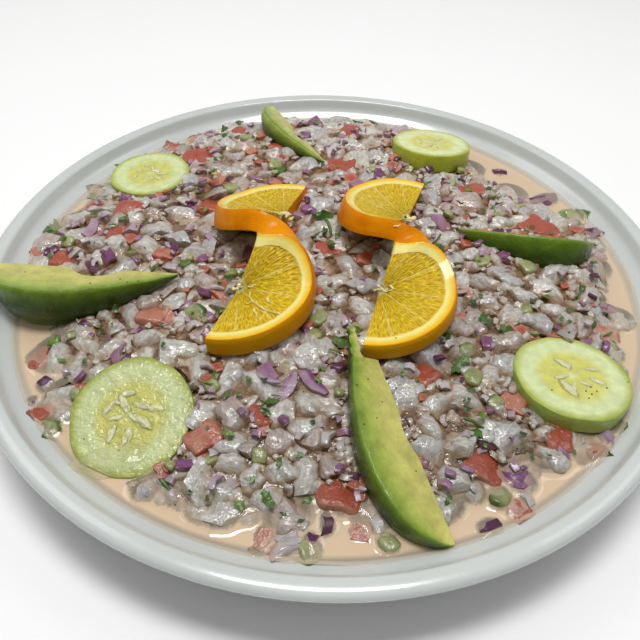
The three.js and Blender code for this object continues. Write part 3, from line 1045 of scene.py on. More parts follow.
def orangeFleshMaterial():
    startMaterial("orangeFlesh")
    reach, segment = readFloat("reach"), readFloat("segment")
    vein = ramp(mathNode("ABSOLUTE", minus(mathNode("FRACT", segment), 0.5)), (0.45, 0), (0.495, 1))
    warp = times(noiseOf(170.0), 1.6)
    place = addNode("CombineXYZ", X=plus(times(segment, 13.0), warp),
                    Y=plus(times(reach, 7.0), warp)).outputs[0]
    flat = {"voronoi_dimensions": "2D"}  # the juice cells lie in the cut face
    edge = addNode("TexVoronoi", {"feature": "DISTANCE_TO_EDGE", **flat}, Vector=place, Scale=1.0)
    dome = addNode("TexVoronoi", flat, Vector=place, Scale=1.0).outputs["Distance"]
    fine = minus(noiseOf(500.0, 3.0), 0.5)
    color = ramp(plus(edge.outputs["Distance"], times(fine, 0.30)), (0.0, orangeLook["fleshLight"]),
                 (0.12, orangeLook["flesh"]), (0.40, orangeLook["fleshDeep"]))
    color = mixColor(times(vein, minus(1.0, times(reach, 0.75))), color, orangeLook["membrane"])
    rim = plus(reach, times(minus(noiseOf(170.0), 0.5), 0.04))
    pith = ramp(rim, (0.88, orangeLook["pith"]), (0.945, orangeLook["pithOuter"]))
    inPith = ramp(plus(rim, times(readFloat("open"), 0.16)), (0.825, 0), (0.85, 1))
    color = mixColor(inPith, color, pith)
    color = mixColor(ramp(rim, (0.965, 0), (0.985, 1)), color, orangeLook["peel"])
    color = mixColor(ramp(rim, (0.075, 1), (0.12, 0)), color, orangeLook["pith"])
    normal = bumpOf(times(minus(times(fine, 0.8), dome), minus(1.0, inPith)), 0.9, 0.0009)
    return wetShader(0.004, (1.0, 0.6, 0.1), BaseColor=color, Roughness=0.26, Normal=normal,
                     SubsurfaceWeight=0.25, CoatWeight=0.5, CoatRoughness=0.06, SpecularIORLevel=0.12)


def makeCrumbs(look, seed):
    # torn bits of pith and pulp where the cores were
    rng = random.Random(seed)
    crumbs = []
    for half in ("back", "front"):
        centre = Vector(look[half]["centre"]) * mm
        for number in range(orangeLook["crumbs"]):
            crumb = addPrimitive(bpy.ops.mesh.primitive_ico_sphere_add, "crumb", subdivisions=2, radius=0.5)
            lumpy(crumb, 0.4, 0.3, seed + number)
            size = [rng.uniform(*span) * mm for span in ((1.5, 4.0), (1.0, 2.4), (0.8, 1.6))]
            aside = Vector((rng.gauss(0, 2.0), rng.gauss(0, 1.6), rng.uniform(-0.8, 0.3))) * mm
            turn = Matrix.Rotation(rng.uniform(0, fullTurn), 4, "Z") @ Matrix.Diagonal((*size, 1))
            crumb.data.transform(Matrix.Translation(centre + aside) @ turn)
            crumbs.append(crumb)
    return crumbs


def makeStrings():
    strings = []
    for number, (x, y, heading, long) in enumerate(orangeLook["strings"]):
        string = addPrimitive(bpy.ops.mesh.primitive_uv_sphere_add, "string", segments=14, ring_count=10,
                              radius=0.5)
        for vertex in string.data.vertices:
            along, aside, up = vertex.co
            vertex.co = (along * long * mm, (aside + 0.5 * long * along * along) * mm, up * 0.7 * mm)
        lumpy(string, 1.6 * mm, 0.8 * mm, number)
        place = pixelSpot(x, y, wholeTree)[0]
        string.data.transform(Matrix.Translation(place) @ Matrix.Rotation(math.radians(heading), 4, "Z"))
        strings.append(string)
    return strings


def makePulp():
    twists = orangeLook["twists"]
    bits = [*makeCrumbs(twists["left"], 3), *makeCrumbs(twists["right"], 5), *makeStrings()]
    pulp = joinAll("orange_pulp_bits", bits)
    smooth(pulp, 50)
    startMaterial("orangePulp")
    handOver(pulp, "orange", [setShader(
        BaseColor=orangeLook["crumb"], Roughness=0.3, CoatWeight=0.5, CoatRoughness=0.06,
        SubsurfaceWeight=0.3, SubsurfaceRadius=(1.0, 0.7, 0.3), SubsurfaceScale=0.003)])


orangePeel, orangeFlesh = peelMaterial(), orangeFleshMaterial()
for side, look in orangeLook["twists"].items():
    makeTwist(side, look, orangePeel, orangeFlesh)
makePulp()
print("orange twists are ready")


# the salad's pieces: each shape is modelled once, laid many times and joined into one piece for its kind

def bisectAt(piece, place, normal):
    editAll(piece)
    bpy.ops.mesh.bisect(plane_co=place, plane_no=normal, use_fill=True, clear_outer=True)
    finishEdit()


def chop(piece, rng, cuts, near, far):
    # flat cuts on all sides, as a knife leaves them
    for _ in range(cuts):
        normal = Vector((rng.gauss(0, 1), rng.gauss(0, 1), rng.gauss(0, 0.8))).normalized()
        reach = max(vertex.co.dot(normal) for vertex in piece.data.vertices)
        bisectAt(piece, normal * reach * rng.uniform(near, far), normal)


def roughen(piece, voxel, depth, seed):
    applyModifier(piece, "REMESH", mode="VOXEL", voxel_size=voxel)
    lumpy(piece, 0.36, depth, seed)
    lumpy(piece, 0.14, depth * 0.5, seed + 1)


def centreAndSmooth(piece, angle):
    centre = sum((vertex.co for vertex in piece.data.vertices), Vector()) / len(piece.data.vertices)
    piece.data.transform(Matrix.Translation(-centre))
    smooth(piece, angle)
    return piece


shrimpLook = {
    "smallShapes": 14,
    "largeShapes": 12,
    "largeFaces": 400,
    "smallFaces": 120,
    "voxel": 0.055,
    "roughness": 0.06,
    "pale": (0.54, 0.505, 0.445),
    "clear": (0.43, 0.375, 0.325),
    "blush": (0.49, 0.395, 0.345),
    "cool": (0.47, 0.46, 0.46),
    "white": (0.60, 0.575, 0.52),
    "stain": (0.140, 0.064, 0.020),
}


def shrimpShape(number, large=False):
    # a chopped bit of tail, about one unit wide: torn lobes of flesh that hang together, with flat knife cuts
    rng = random.Random(100 + number)
    lobes = []
    for part in range(2 + number % 2):
        turn, away = rng.uniform(0, fullTurn), 0.30 * (part > 0)
        place = (away * math.cos(turn), away * math.sin(turn), rng.uniform(-0.08, 0.08))
        lobe = addPrimitive(bpy.ops.mesh.primitive_uv_sphere_add, f"shrimp_shape_{number}", segments=16,
                            ring_count=10, radius=0.46 - 0.09 * part, location=place)
        editAll(lobe)
        bpy.ops.transform.resize(value=(rng.uniform(1.0, 1.5), rng.uniform(0.55, 0.9),
                                        rng.uniform(0.55, 0.8)))
        bpy.ops.transform.rotate(value=rng.uniform(0, fullTurn), orient_axis="Z", center_override=(0, 0, 0))
        leaveEdit()
        settle(lobe)
        chop(lobe, rng, 3, 0.5, 0.8)
        lobes.append(lobe)
    piece = joinAll(f"shrimp_shape_{number}", lobes)
    applyModifier(piece, "REMESH", mode="VOXEL", voxel_size=shrimpLook["voxel"])
    lumpy(piece, 0.30, shrimpLook["roughness"], number)
    lumpy(piece, 0.12, shrimpLook["roughness"] * 0.6, number + 1)
    chop(piece, rng, 5, 0.58, 0.84)
    faces = shrimpLook["largeFaces" if large else "smallFaces"]
    applyModifier(piece, "DECIMATE", ratio=min(1.0, faces / trianglesOf(piece.data)))
    piece.data.transform(Matrix.Scale(1.1 / max(piece.dimensions), 4))
    return centreAndSmooth(piece, 40 if large else 48)


tomatoLook = {
    "smallShapes": 6,
    "largeShapes": 6,
    "largeVoxel": 0.075,
    "red": (0.45, 0.105, 0.055),
    "pink": (0.54, 0.235, 0.155),
    "skin": (0.38, 0.055, 0.022),
    "stain": (0.26, 0.065, 0.030),
}


def tomatoShape(number, large=False):
    # a dice of tomato: cut sides, and one side of skin
    rng = random.Random(200 + number)
    piece = addPrimitive(bpy.ops.mesh.primitive_cube_add, f"tomato_shape_{number}", size=1)
    editAll(piece)
    bpy.ops.mesh.subdivide(number_cuts=2)
    bpy.ops.transform.resize(value=(rng.uniform(1.0, 1.35), 1.0, rng.uniform(0.62, 0.8)))
    leaveEdit()
    for vertex in piece.data.vertices:
        vertex.co *= 1 - 0.38 * max(0.0, vertex.co.length - 0.5)
    chop(piece, rng, 2, 0.70, 0.86)
    if large:
        roughen(piece, tomatoLook["largeVoxel"], 0.07, number)
        applyModifier(piece, "SMOOTH", factor=0.6, iterations=3)
    else:
        lumpy(piece, 0.45, 0.06, number)
    skinAxis = 1 if number % 2 else 2
    skin = [1.0 if vertex.normal[skinAxis] > 0.75 else 0.0 for vertex in piece.data.vertices]
    setFloat(piece.data, "side", skin)
    return centreAndSmooth(piece, 60)


onionLook = {
    "shapes": 8,
    "slivers": 4,
    "pale": (0.55, 0.51, 0.49),
    "lilac": (0.44, 0.31, 0.39),
    "purple": (0.25, 0.075, 0.20),
    "dark": (0.095, 0.015, 0.060),
    "stain": (0.20, 0.10, 0.075),
}


def onionShape(number, sliver=False):
    # a bit of one onion layer: a curved slab or a thin strip, with its coloured skin outside
    rng = random.Random(300 + number)
    piece = addPrimitive(bpy.ops.mesh.primitive_cube_add, f"onion_shape_{number}", size=1)
    editAll(piece)
    bpy.ops.mesh.subdivide(number_cuts=3 if sliver else 1)
    if sliver:
        size = (1.0, rng.uniform(0.20, 0.30), rng.uniform(0.10, 0.16))
    else:
        size = (rng.uniform(0.9, 1.5), rng.uniform(0.40, 0.85), rng.uniform(0.28, 0.45))
    bpy.ops.transform.resize(value=size)
    leaveEdit()
    bend = 0.45 if sliver else rng.uniform(0.2, 0.6)
    skew = rng.uniform(-0.4, 0.4)
    skin = []
    for vertex in piece.data.vertices:
        x, y, z = vertex.co
        curl = bend * x * x
        skin.append(float((y if sliver else z) > 0.03))
        if sliver:
            taper = 1 - 8.6 * x ** 4
            vertex.co = (x, y * taper + curl, z * taper + 0.1 * x)
        else:
            vertex.co = (x + skew * y, y * (1 - 0.25 * x) + curl, z - curl)
    lumpy(piece, 0.7, 0.03 if sliver else 0.09, number)
    setFloat(piece.data, "side", skin)
    if not sliver:
        applyModifier(piece, "BEVEL", width=0.04, segments=1, limit_method="ANGLE",
                      angle_limit=math.radians(50))
    return centreAndSmooth(piece, 58 if sliver else 40)


greenLook = {
    "shapes": 6,
    "flesh": (0.37, 0.385, 0.18),
    "clear": (0.26, 0.285, 0.085),
    "skin": (0.07, 0.13, 0.012),
    "stain": (0.13, 0.12, 0.020),
}


def greenShape(number):
    # a dice of cucumber
    rng = random.Random(400 + number)
    piece = addPrimitive(bpy.ops.mesh.primitive_cube_add, f"cucumber_dice_{number}", size=1)
    editAll(piece)
    bpy.ops.mesh.subdivide(number_cuts=2)
    bpy.ops.transform.resize(value=(rng.uniform(0.9, 1.3), 1.0, rng.uniform(0.6, 0.85)))
    leaveEdit()
    skin = []
    for vertex in piece.data.vertices:
        skin.append(1.0 if vertex.co.y > 0.45 and number % 3 == 0 else 0.0)
        vertex.co *= 1 - 0.62 * max(0.0, vertex.co.length - 0.5)
    setFloat(piece.data, "side", skin)
    applyModifier(piece, "SUBSURF", levels=1)
    lumpy(piece, 0.35, 0.09, number + 60)
    return centreAndSmooth(piece, 60)


herbLook = {
    "shapes": 10,
    "stems": 2,
    "bright": (0.15, 0.28, 0.030),
    "deep": (0.030, 0.085, 0.010),
}


def herbShape(number):
    # a chopped bit of leaf: a ragged edge, one or two knife cuts, creased and folded
    rng = random.Random(500 + number)
    piece = addPrimitive(bpy.ops.mesh.primitive_circle_add, f"herb_shape_{number}", vertices=18, radius=0.5,
                         fill_type="NGON")
    editAll(piece)
    bpy.ops.mesh.inset(thickness=0.20, depth=0)
    bpy.ops.mesh.poke()
    leaveEdit()
    fold, wide = rng.uniform(0.2, 1.4), rng.uniform(0.45, 1.0)
    for vertex in piece.data.vertices:
        x, y, _ = vertex.co
        angle, reach = math.atan2(y, x), math.hypot(x, y)
        ragged = noise.noise(Vector((2.4 * math.cos(angle), 2.4 * math.sin(angle), number * 5.7)))
        reach *= 1 + (0.55 * ragged + 0.10 * math.sin(9 * angle)) * reach * 2
        vertex.co = (reach * math.cos(angle) * 1.15, reach * math.sin(angle) * wide, 0)
    for _ in range(1 + number % 2):
        turn = rng.uniform(0, fullTurn)
        normal = Vector((math.cos(turn), math.sin(turn), 0))
        bisectAt(piece, normal * rng.uniform(0.12, 0.30), normal)
    for vertex in piece.data.vertices:
        x, y, _ = vertex.co
        vertex.co.z = fold * y * y / wide + 0.10 * math.sin(5 * x + number) + 0.07 * math.cos(9 * y)
    applyModifier(piece, "SOLIDIFY", thickness=0.05, offset=0)
    smooth(piece, 60)
    return piece


def stemShape(number):
    # a short length of herb stem, a little bent
    piece = addPrimitive(bpy.ops.mesh.primitive_cylinder_add, f"stem_shape_{number}", vertices=7, radius=0.06,
                         depth=1, end_fill_type="TRIFAN", rotation=(0, math.pi / 2, 0))
    settle(piece)
    editAll(piece)
    bpy.ops.mesh.subdivide(number_cuts=2)
    leaveEdit()
    for vertex in piece.data.vertices:
        x, y, z = vertex.co
        vertex.co = (x, y * (1.1 + 0.5 * x) + 0.25 * x * x, z + 0.08 * math.sin(4 * x))
    smooth(piece, 60)
    return piece


speckLook = {
    "shapes": 3,
    "dark": (0.01, 0.008, 0.006),
    "light": (0.06, 0.045, 0.03),
}


def speckShape(number):
    # a grain of ground pepper
    piece = addPrimitive(bpy.ops.mesh.primitive_ico_sphere_add, f"pepper_shape_{number}", subdivisions=1,
                         radius=0.5)
    lumpy(piece, 0.5, 0.2, number)
    return piece


# materials of the salad

wetLook = {
    "Roughness": 0.30,
    "SpecularIORLevel": 0.35,
    "CoatWeight": 0.55,
    "CoatRoughness": 0.05,
    "SubsurfaceWeight": 0.35,
    "SubsurfaceScale": 0.003,
}

juiceAndShadeLook = {
    "front": (0.75, 0.77, 0.78),  # painted shade: the front of the heap is darker
    "first": (1.07, 0.86, 0.65),  # warm tint where the stain begins: the first juices, and painted warm shade on sides and lower parts
}


def saladMaterial(color, stain, bump=0.4, **settings):
    # the juices stain a piece the deeper it lies, and painted shade darkens its sides, its lower parts and
    # the gaps; its wet skin is finely rough
    # painted shade: darker towards the front of the heap, by each point's place from front to back
    back = plus(times(addNode("SeparateXYZ", Vector=objectPlace()).outputs["Y"], 4.0), 0.5)
    color = tinted(color, ramp(back, (0.0, juiceAndShadeLook["front"]), (0.75, 1.0)))
    # juice stain and painted shade: a warm tint where it begins, then the stain colour
    deep = readFloat("deep")
    color = mixColor(ramp(deep, (0.03, 0), (0.33, 1)), color, tinted(color, juiceAndShadeLook["first"]))
    color = mixColor(deep, color, stain)
    normal = bumpOf(plus(noiseOf(800.0), times(noiseOf(280.0), 1.6)), bump, 0.0006)
    return setShader(BaseColor=color, Normal=normal, CoatNormal=normal, **{**wetLook, **settings})


def shrimpMaterial():
    startMaterial("shrimpFlesh")
    pale, clear, blush = (shrimpLook[tone] for tone in ("pale", "clear", "blush"))
    cool, white = shrimpLook["cool"], shrimpLook["white"]
    cloud = plus(times(readFloat("shade"), 0.80), times(noiseOf(110.0), 0.40))
    color = ramp(cloud, (0.18, cool), (0.32, pale), (0.46, white), (0.58, pale), (0.68, cool), (0.82, clear),
                 (0.98, blush))
    grain = addNode("Attribute", {"attribute_name": "grain"}).outputs["Vector"]
    along = addNode("Mapping", Vector=grain, Scale=(250.0, 700.0, 700.0)).outputs["Vector"]
    fibres = ramp(noiseOf(1.0, 4.0, along), (0.36, (0.74, 0.70, 0.68)), (0.50, 0.99), (0.62, 1.20))
    color = mixColor(0.9, color, tinted(color, fibres))
    return saladMaterial(color, shrimpLook["stain"], 0.5, CoatWeight=0.9, SubsurfaceWeight=0.45,
                         SubsurfaceRadius=(1.0, 0.75, 0.6))


def tomatoMaterial():
    startMaterial("tomatoFlesh")
    red, pink = tomatoLook["red"], tomatoLook["pink"]
    flesh = mixColor(ramp(noiseOf(230.0, 4.0), (0.36, 0), (0.64, 1)), red, pink)
    flesh = mixColor(times(readFloat("shade"), 0.8), flesh, pink)
    color = mixColor(times(readFloat("side"), 0.8), flesh, tomatoLook["skin"])
    return saladMaterial(color, tomatoLook["stain"], 0.7, SubsurfaceRadius=(1.0, 0.3, 0.2))


def onionMaterial():
    startMaterial("redOnion")
    pale, lilac, purple, dark = (onionLook[tone] for tone in ("pale", "lilac", "purple", "dark"))
    shade = plus(readFloat("shade"), times(minus(noiseOf(260.0, 3.0), 0.5), 0.35))
    inner = ramp(shade, (0.30, pale), (0.66, lilac), (0.90, purple), (0.99, dark))
    skin = ramp(plus(shade, 0.16), (0.35, pale), (0.62, lilac), (0.86, purple), (1.0, dark))
    color = mixColor(readFloat("side"), inner, skin)
    return saladMaterial(color, onionLook["stain"], 0.3, SubsurfaceRadius=(1.0, 0.8, 0.9))


def greenMaterial():
    startMaterial("cucumberDice")
    flesh = mixColor(readFloat("shade"), greenLook["flesh"], greenLook["clear"])
    color = mixColor(readFloat("side"), flesh, greenLook["skin"])
    color = tinted(color, ramp(noiseOf(240.0, 3.0), (0.3, 0.80), (0.7, 1.18)))
    return saladMaterial(color, greenLook["stain"], SubsurfaceRadius=(0.9, 1.0, 0.4))


def herbMaterial():
    startMaterial("cilantroLeaf")
    color = mixColor(readFloat("shade"), herbLook["deep"], herbLook["bright"])
    color = tinted(color, ramp(noiseOf(420.0, 3.0), (0.35, 0.7), (0.65, 1.25)))
    return saladMaterial(color, herbLook["deep"], 0.5, Roughness=0.40, CoatWeight=0.35, CoatRoughness=0.12,
                         SubsurfaceWeight=0.0)


def speckMaterial():
    startMaterial("blackPepper")
    color = ramp(noiseOf(900.0), (0.3, speckLook["dark"]), (0.7, speckLook["light"]))
    return setShader(BaseColor=color, Roughness=0.5)


# the core under the pieces

coreLook = {
    "inset": 2.7,
    "voxel": 2.0,
    "relief": 1.3,
    # dark juices, also painted shade in the gaps between bits
    "wet": (0.105, 0.050, 0.015),
    "pale": (0.30, 0.170, 0.090),
}


def makeCore():
    mesh = cadNodes["ceviche_heap"].data.copy()
    mesh.name = "salad_core"
    mesh.materials.clear()
    core = addObject("salad_core", mesh)
    editAll(core)
    bpy.ops.mesh.remove_doubles(threshold=0.01 * mm)
    leaveEdit()
    applyModifier(core, "REMESH", mode="VOXEL", voxel_size=coreLook["voxel"] * mm)
    applyModifier(core, "DISPLACE", strength=-coreLook["inset"] * mm, mid_level=0.0)
    applyModifier(core, "SMOOTH", factor=0.5, iterations=3)
    for vertex in core.data.vertices:
        vertex.co.z += noise.noise(vertex.co / (2.8 * mm)) * coreLook["relief"] * mm
    smooth(core)
    # the juices under the bits, darkened to paint the shade in the gaps
    startMaterial("saladJuicesAndGapShade")
    color = ramp(noiseOf(300.0, 4.0), (0.38, coreLook["wet"]), (0.62, coreLook["pale"]))
    juices = saladMaterial(color, coreLook["wet"], 0.5, Roughness=0.15, CoatWeight=0.8)
    handOver(core, "seafood_salad", [juices], "ceviche_heap")


# heights over the plate, on a grid of small cells: what carries a piece, and how high the heap may reach

gridLook = {
    "cell": 1.0,
    "half": 156,
    "bed": 5.5,
    "coverGap": 3.0,
}
cell = gridLook["cell"] * mm
half = gridLook["half"]
across = 2 * half + 1
steps = (np.arange(across) - half) * cell
gridX, gridY = np.meshgrid(steps, steps, indexing="ij")
target = np.full((across, across), np.nan)
covered = np.zeros((across, across), bool)
for i in range(across):
    for j in range(across):
        if math.hypot(steps[i], steps[j]) > half * cell:
            continue
        hit = heapTree.ray_cast(Vector((steps[i], steps[j], highUp)), down)[0]
        if hit is None:
            continue
        target[i, j] = hit.z
        above = garnishTree.ray_cast(hit + Vector((0, 0, 0.2 * mm)), -down)
        if above[0] is not None and above[3] < gridLook["coverGap"] * mm:
            covered[i, j] = True
inHeap = ~np.isnan(target)
carried = np.where(inHeap, target - gridLook["bed"] * mm, brothLevel - 1.5 * mm)
print("heights are ready")


def cellsNear(x, y, radius):
    low = [max(0, int((value - radius) / cell) + half) for value in (x, y)]
    high = [min(across, int((value + radius) / cell) + half + 2) for value in (x, y)]
    return (slice(low[0], high[0]), slice(low[1], high[1]))


def levelUnder(grid, x, y, radius):
    # the grid's mean height over a round footprint
    window = cellsNear(x, y, radius)
    near = ((gridX[window] - x) ** 2 + (gridY[window] - y) ** 2 <= radius ** 2) & ~np.isnan(grid[window])
    return float(grid[window][near].mean()) if near.any() else brothLevel


def raiseHeights(x, y, top, radiusX, radiusY, tall, yaw):
    window = cellsNear(x, y, max(radiusX, radiusY))
    dx, dy = gridX[window] - x, gridY[window] - y
    along = (dx * math.cos(yaw) + dy * math.sin(yaw)) / radiusX
    aside = (dy * math.cos(yaw) - dx * math.sin(yaw)) / radiusY
    inside = along ** 2 + aside ** 2
    dome = top - tall * (1 - np.sqrt(np.clip(1 - inside * 0.8, 0, 1)))
    carried[window] = np.where(inside < 1, np.maximum(carried[window], dome), carried[window])


shapes = {
    "shrimp": [shrimpShape(k) for k in range(shrimpLook["smallShapes"])],
    "shrimpLarge": [shrimpShape(k + 30, True) for k in range(shrimpLook["largeShapes"])],
    "tomato": [tomatoShape(k) for k in range(tomatoLook["smallShapes"])],
    "tomatoLarge": [tomatoShape(k + 30, True) for k in range(tomatoLook["largeShapes"])],
    "onion": [onionShape(k) for k in range(onionLook["shapes"])],
    "sliver": [onionShape(k + 50, True) for k in range(onionLook["slivers"])],
    "green": [greenShape(k) for k in range(greenLook["shapes"])],
    "herb": [herbShape(k) for k in range(herbLook["shapes"])],
    "stem": [stemShape(k) for k in range(herbLook["stems"])],
    "speck": [speckShape(k) for k in range(speckLook["shapes"])],
}
shapeTop = {shape.name: max(vertex.co.z for vertex in shape.data.vertices)
            for group in shapes.values() for shape in group}
laid = {kind: [] for kind in shapes}
print("shapes are ready")

kindLook = {
    # how deep a piece sinks into what carries it, how far it leans, how far its top stands over the outline,
    # how wide it is for its spot, and how far from the plate's middle it may reach, in mm
    "shrimp": {"sink": 0.25, "lean": 0.5, "proud": 0.9, "grow": 1.15, "farthest": 156},
    "tomato": {"sink": 0.30, "lean": 0.35, "proud": -0.4, "grow": 0.86, "farthest": 156},
    "green": {"sink": 0.25, "lean": 0.5, "proud": 0.8, "grow": 0.92, "farthest": 156},
    "onion": {"sink": 0.10, "lean": 0.45, "proud": 1.0, "grow": 0.92, "farthest": 156},
    "sliver": {"sink": 0.0, "lean": 0.15, "proud": 1.0, "grow": 0.92, "farthest": 156},
    "herb": {"sink": 0.0, "lean": 0.35, "proud": 1.0, "grow": 0.92, "farthest": 158},
    "stem": {"sink": 0.0, "lean": 0.1, "proud": 1.0, "grow": 0.92, "farthest": 158},
    "speck": {"sink": 0.2, "lean": 0.0, "proud": 0.3, "grow": 0.92, "farthest": 156},
}
largeFrom = 10 * mm


def lay(kind, x, y, size, top, shade, rng, rests=True):
    # a piece rests on what is under it, but sinks deeper where its top would pass the height given
    rule = kindLook[kind]
    reach, farthest = math.hypot(x, y), rule["farthest"] * mm - size * 0.45
    if reach > farthest:
        x, y = x * farthest / reach, y * farthest / reach
    group = kind + "Large" if kind in ("shrimp", "tomato") and size > largeFrom else kind
    shape = shapes[group][rng.randrange(len(shapes[group]))]
    yaw, tilt = rng.uniform(0, fullTurn), rng.uniform(-rule["lean"], rule["lean"])
    halfTall = shapeTop[shape.name] * size
    if rests:
        resting = levelUnder(carried, x, y, size * 0.33) + 2 * halfTall * (1 - rule["sink"])
        top = min(top, resting)
    lean = Matrix.Rotation(tilt, 4, Vector((math.cos(yaw * 3), math.sin(yaw * 3), 0)))
    turn = lean @ Matrix.Rotation(yaw, 4, "Z") @ Matrix.Diagonal((size, size, size, 1))
    laid[group].append((shape, Matrix.Translation((x, y, top - halfTall)) @ turn, shade))
    width, depth = shape.dimensions.x * size, shape.dimensions.y * size
    raiseHeights(x, y, top, width * 0.48, depth * 0.48, halfTall, yaw)


# pieces that show: x, y and width in pixels of the view, and shade

spots = {
    "shrimp": (
        (93, 240, 32, 0.5), (79, 364, 35, 0.4), (174, 347, 50, 0.3), (65, 411, 24, 0.6), (203, 482, 40, 0.3),
        (223, 499, 44, 0.25), (197, 507, 32, 0.3), (266, 496, 34, 0.4), (307, 470, 40, 0.3),
        (508, 314, 32, 0.5), (540, 318, 34, 0.6), (552, 306, 24, 0.4), (504, 360, 30, 0.5),
        (468, 398, 42, 0.45), (515, 432, 48, 0.5), (460, 438, 42, 0.4), (450, 474, 34, 0.5),
        (472, 488, 26, 0.4), (296, 163, 28, 0.5), (510, 194, 36, 0.45), (510, 273, 34, 0.55),
        (552, 269, 40, 0.5), (476, 223, 26, 0.4), (500, 221, 26, 0.5), (472, 251, 24, 0.4),
        (362, 300, 36, 0.4), (205, 410, 40, 0.35), (228, 380, 34, 0.5), (232, 440, 36, 0.4),
        (300, 425, 34, 0.35), (280, 470, 36, 0.45), (440, 400, 36, 0.45), (410, 385, 30, 0.5),
        (150, 335, 36, 0.5), (110, 345, 32, 0.45), (170, 300, 30, 0.5), (560, 350, 30, 0.5),
        (490, 300, 26, 0.5), (620, 320, 26, 0.5), (590, 290, 30, 0.45), (350, 140, 24, 0.5),
        (230, 170, 26, 0.5),
    ),
    "tomato": (
        (24, 250, 22, 0.4), (62, 256, 28, 0.3), (131, 207, 38, 0.7), (117, 231, 24, 0.5),
        (164, 251, 26, 0.2), (225, 289, 32, 0.1), (168, 316, 24, 0.4), (40, 358, 36, 0.2),
        (45, 411, 28, 0.3), (262, 412, 30, 0.9), (341, 489, 54, 1.0), (266, 537, 30, 0.5),
        (360, 531, 24, 0.6), (467, 320, 28, 0.3), (602, 332, 38, 0.5), (512, 399, 36, 0.8),
        (487, 463, 48, 0.9), (527, 520, 30, 0.4), (560, 436, 34, 0.5), (590, 446, 30, 0.2),
        (602, 437, 24, 0.3), (169, 147, 28, 0.5), (200, 153, 40, 0.2), (197, 140, 22, 0.3),
        (239, 130, 20, 0.5), (291, 111, 24, 0.1), (349, 128, 24, 0.5), (340, 161, 34, 0.1),
        (329, 245, 28, 0.2), (540, 225, 40, 0.4), (425, 372, 34, 0.5), (365, 255, 22, 0.6),
        (312, 375, 20, 0.5),
    ),
    "green": (
        (195, 312, 28, 0.3), (259, 454, 20, 0.4), (308, 560, 32, 0.1), (388, 544, 24, 0.2),
        (474, 375, 22, 0.6), (466, 349, 20, 0.5), (498, 498, 28, 0.7), (246, 136, 18, 0.3),
        (275, 163, 16, 0.4), (232, 186, 20, 0.3), (570, 217, 24, 0.7), (528, 265, 20, 0.4),
        (483, 259, 18, 0.3), (318, 316, 24, 0.3), (314, 334, 20, 0.4), (212, 385, 18, 0.3),
        (610, 345, 16, 0.4), (68, 240, 16, 0.2), (56, 344, 14, 0.2),
    ),
    "onion": (
        (49, 254, 12, 0.9), (92, 265, 18, 0.85), (108, 256, 18, 0.75), (47, 387, 20, 0.95),
        (60, 237, 10, 0.8), (174, 249, 12, 0.8), (203, 290, 14, 0.8), (119, 353, 18, 0.6),
        (80, 376, 12, 0.7), (91, 228, 20, 0.5), (212, 237, 14, 0.5), (132, 227, 18, 0.4),
        (284, 419, 14, 0.75), (311, 540, 14, 0.8), (184, 464, 20, 0.7), (326, 524, 18, 0.95),
        (281, 566, 30, 0.35), (377, 527, 18, 0.05), (328, 437, 18, 0.05), (489, 340, 20, 0.75),
        (606, 310, 18, 0.7), (517, 481, 26, 0.7), (561, 456, 14, 0.6), (492, 532, 22, 0.95),
        (620, 444, 18, 0.5), (526, 500, 16, 0.2), (206, 131, 14, 0.8), (317, 124, 22, 0.7),
        (305, 134, 14, 0.7), (309, 209, 16, 0.7), (375, 171, 22, 0.75), (440, 217, 26, 0.6),
        (499, 173, 14, 0.9), (544, 201, 28, 0.8), (591, 234, 22, 0.8), (268, 373, 26, 0.6),
        (340, 365, 16, 0.9), (300, 360, 18, 0.05), (15, 402, 12, 0.8), (290, 300, 14, 0.6),
    ),
    "sliver": (
        (285, 388, 46, 0.65), (312, 378, 50, 0.75), (268, 379, 34, 0.6), (288, 542, 30, 0.2),
        (420, 210, 26, 0.6),
    ),
    "herb": (
        (52, 229, 22, 0.4), (41, 228, 14, 0.5), (93, 198, 14, 0.4), (115, 163, 16, 0.3), (47, 430, 32, 0.6),
        (186, 264, 14, 0.6), (56, 344, 14, 0.9), (265, 411, 13, 0.4), (268, 502, 18, 0.5),
        (292, 522, 20, 0.2), (308, 500, 12, 0.5), (240, 503, 14, 0.9), (256, 551, 14, 0.8),
        (485, 321, 16, 0.2), (507, 331, 16, 0.4), (449, 335, 14, 0.2), (545, 297, 14, 0.9),
        (571, 312, 12, 0.5), (531, 298, 12, 0.2), (623, 428, 26, 0.3), (611, 460, 30, 0.2),
        (459, 364, 22, 0.5), (222, 138, 14, 0.1), (236, 119, 12, 0.3), (281, 169, 20, 0.3),
        (322, 221, 28, 0.3), (270, 402, 16, 0.3), (345, 340, 24, 0.6), (352, 330, 18, 0.7),
        (304, 296, 12, 0.5), (212, 342, 14, 0.4), (432, 350, 18, 0.3), (472, 431, 22, 0.4),
        (320, 233, 24, 0.2), (580, 215, 18, 0.6), (400, 356, 14, 0.4), (566, 221, 14, 0.7),
        (232, 444, 12, 0.3), (399, 391, 14, 0.4), (438, 246, 14, 0.3),
    ),
    "stem": (
        (170, 491, 34, 0.5), (381, 119, 26, 0.1), (439, 122, 18, 0.1), (477, 424, 30, 0.4),
        (330, 228, 26, 0.4),
    ),
    "speck": (
        (368, 379, 2, 0.1), (357, 385, 2, 0.1), (364, 424, 2, 0.1), (377, 418, 2, 0.1), (382, 402, 2, 0.1),
        (416, 471, 2, 0.1), (350, 360, 2, 0.1), (591, 387, 2, 0.1), (592, 394, 2, 0.1), (586, 391, 2, 0.1),
        (607, 388, 2, 0.1), (597, 391, 2, 0.1), (628, 382, 2, 0.1), (552, 390, 2, 0.1), (589, 398, 2, 0.1),
        (25, 272, 2, 0.1), (120, 279, 2, 0.1), (127, 282, 2, 0.1), (138, 281, 2, 0.1), (90, 283, 2, 0.1),
        (396, 338, 2, 0.1), (119, 450, 2, 0.1), (84, 439, 2, 0.1),
    ),
}


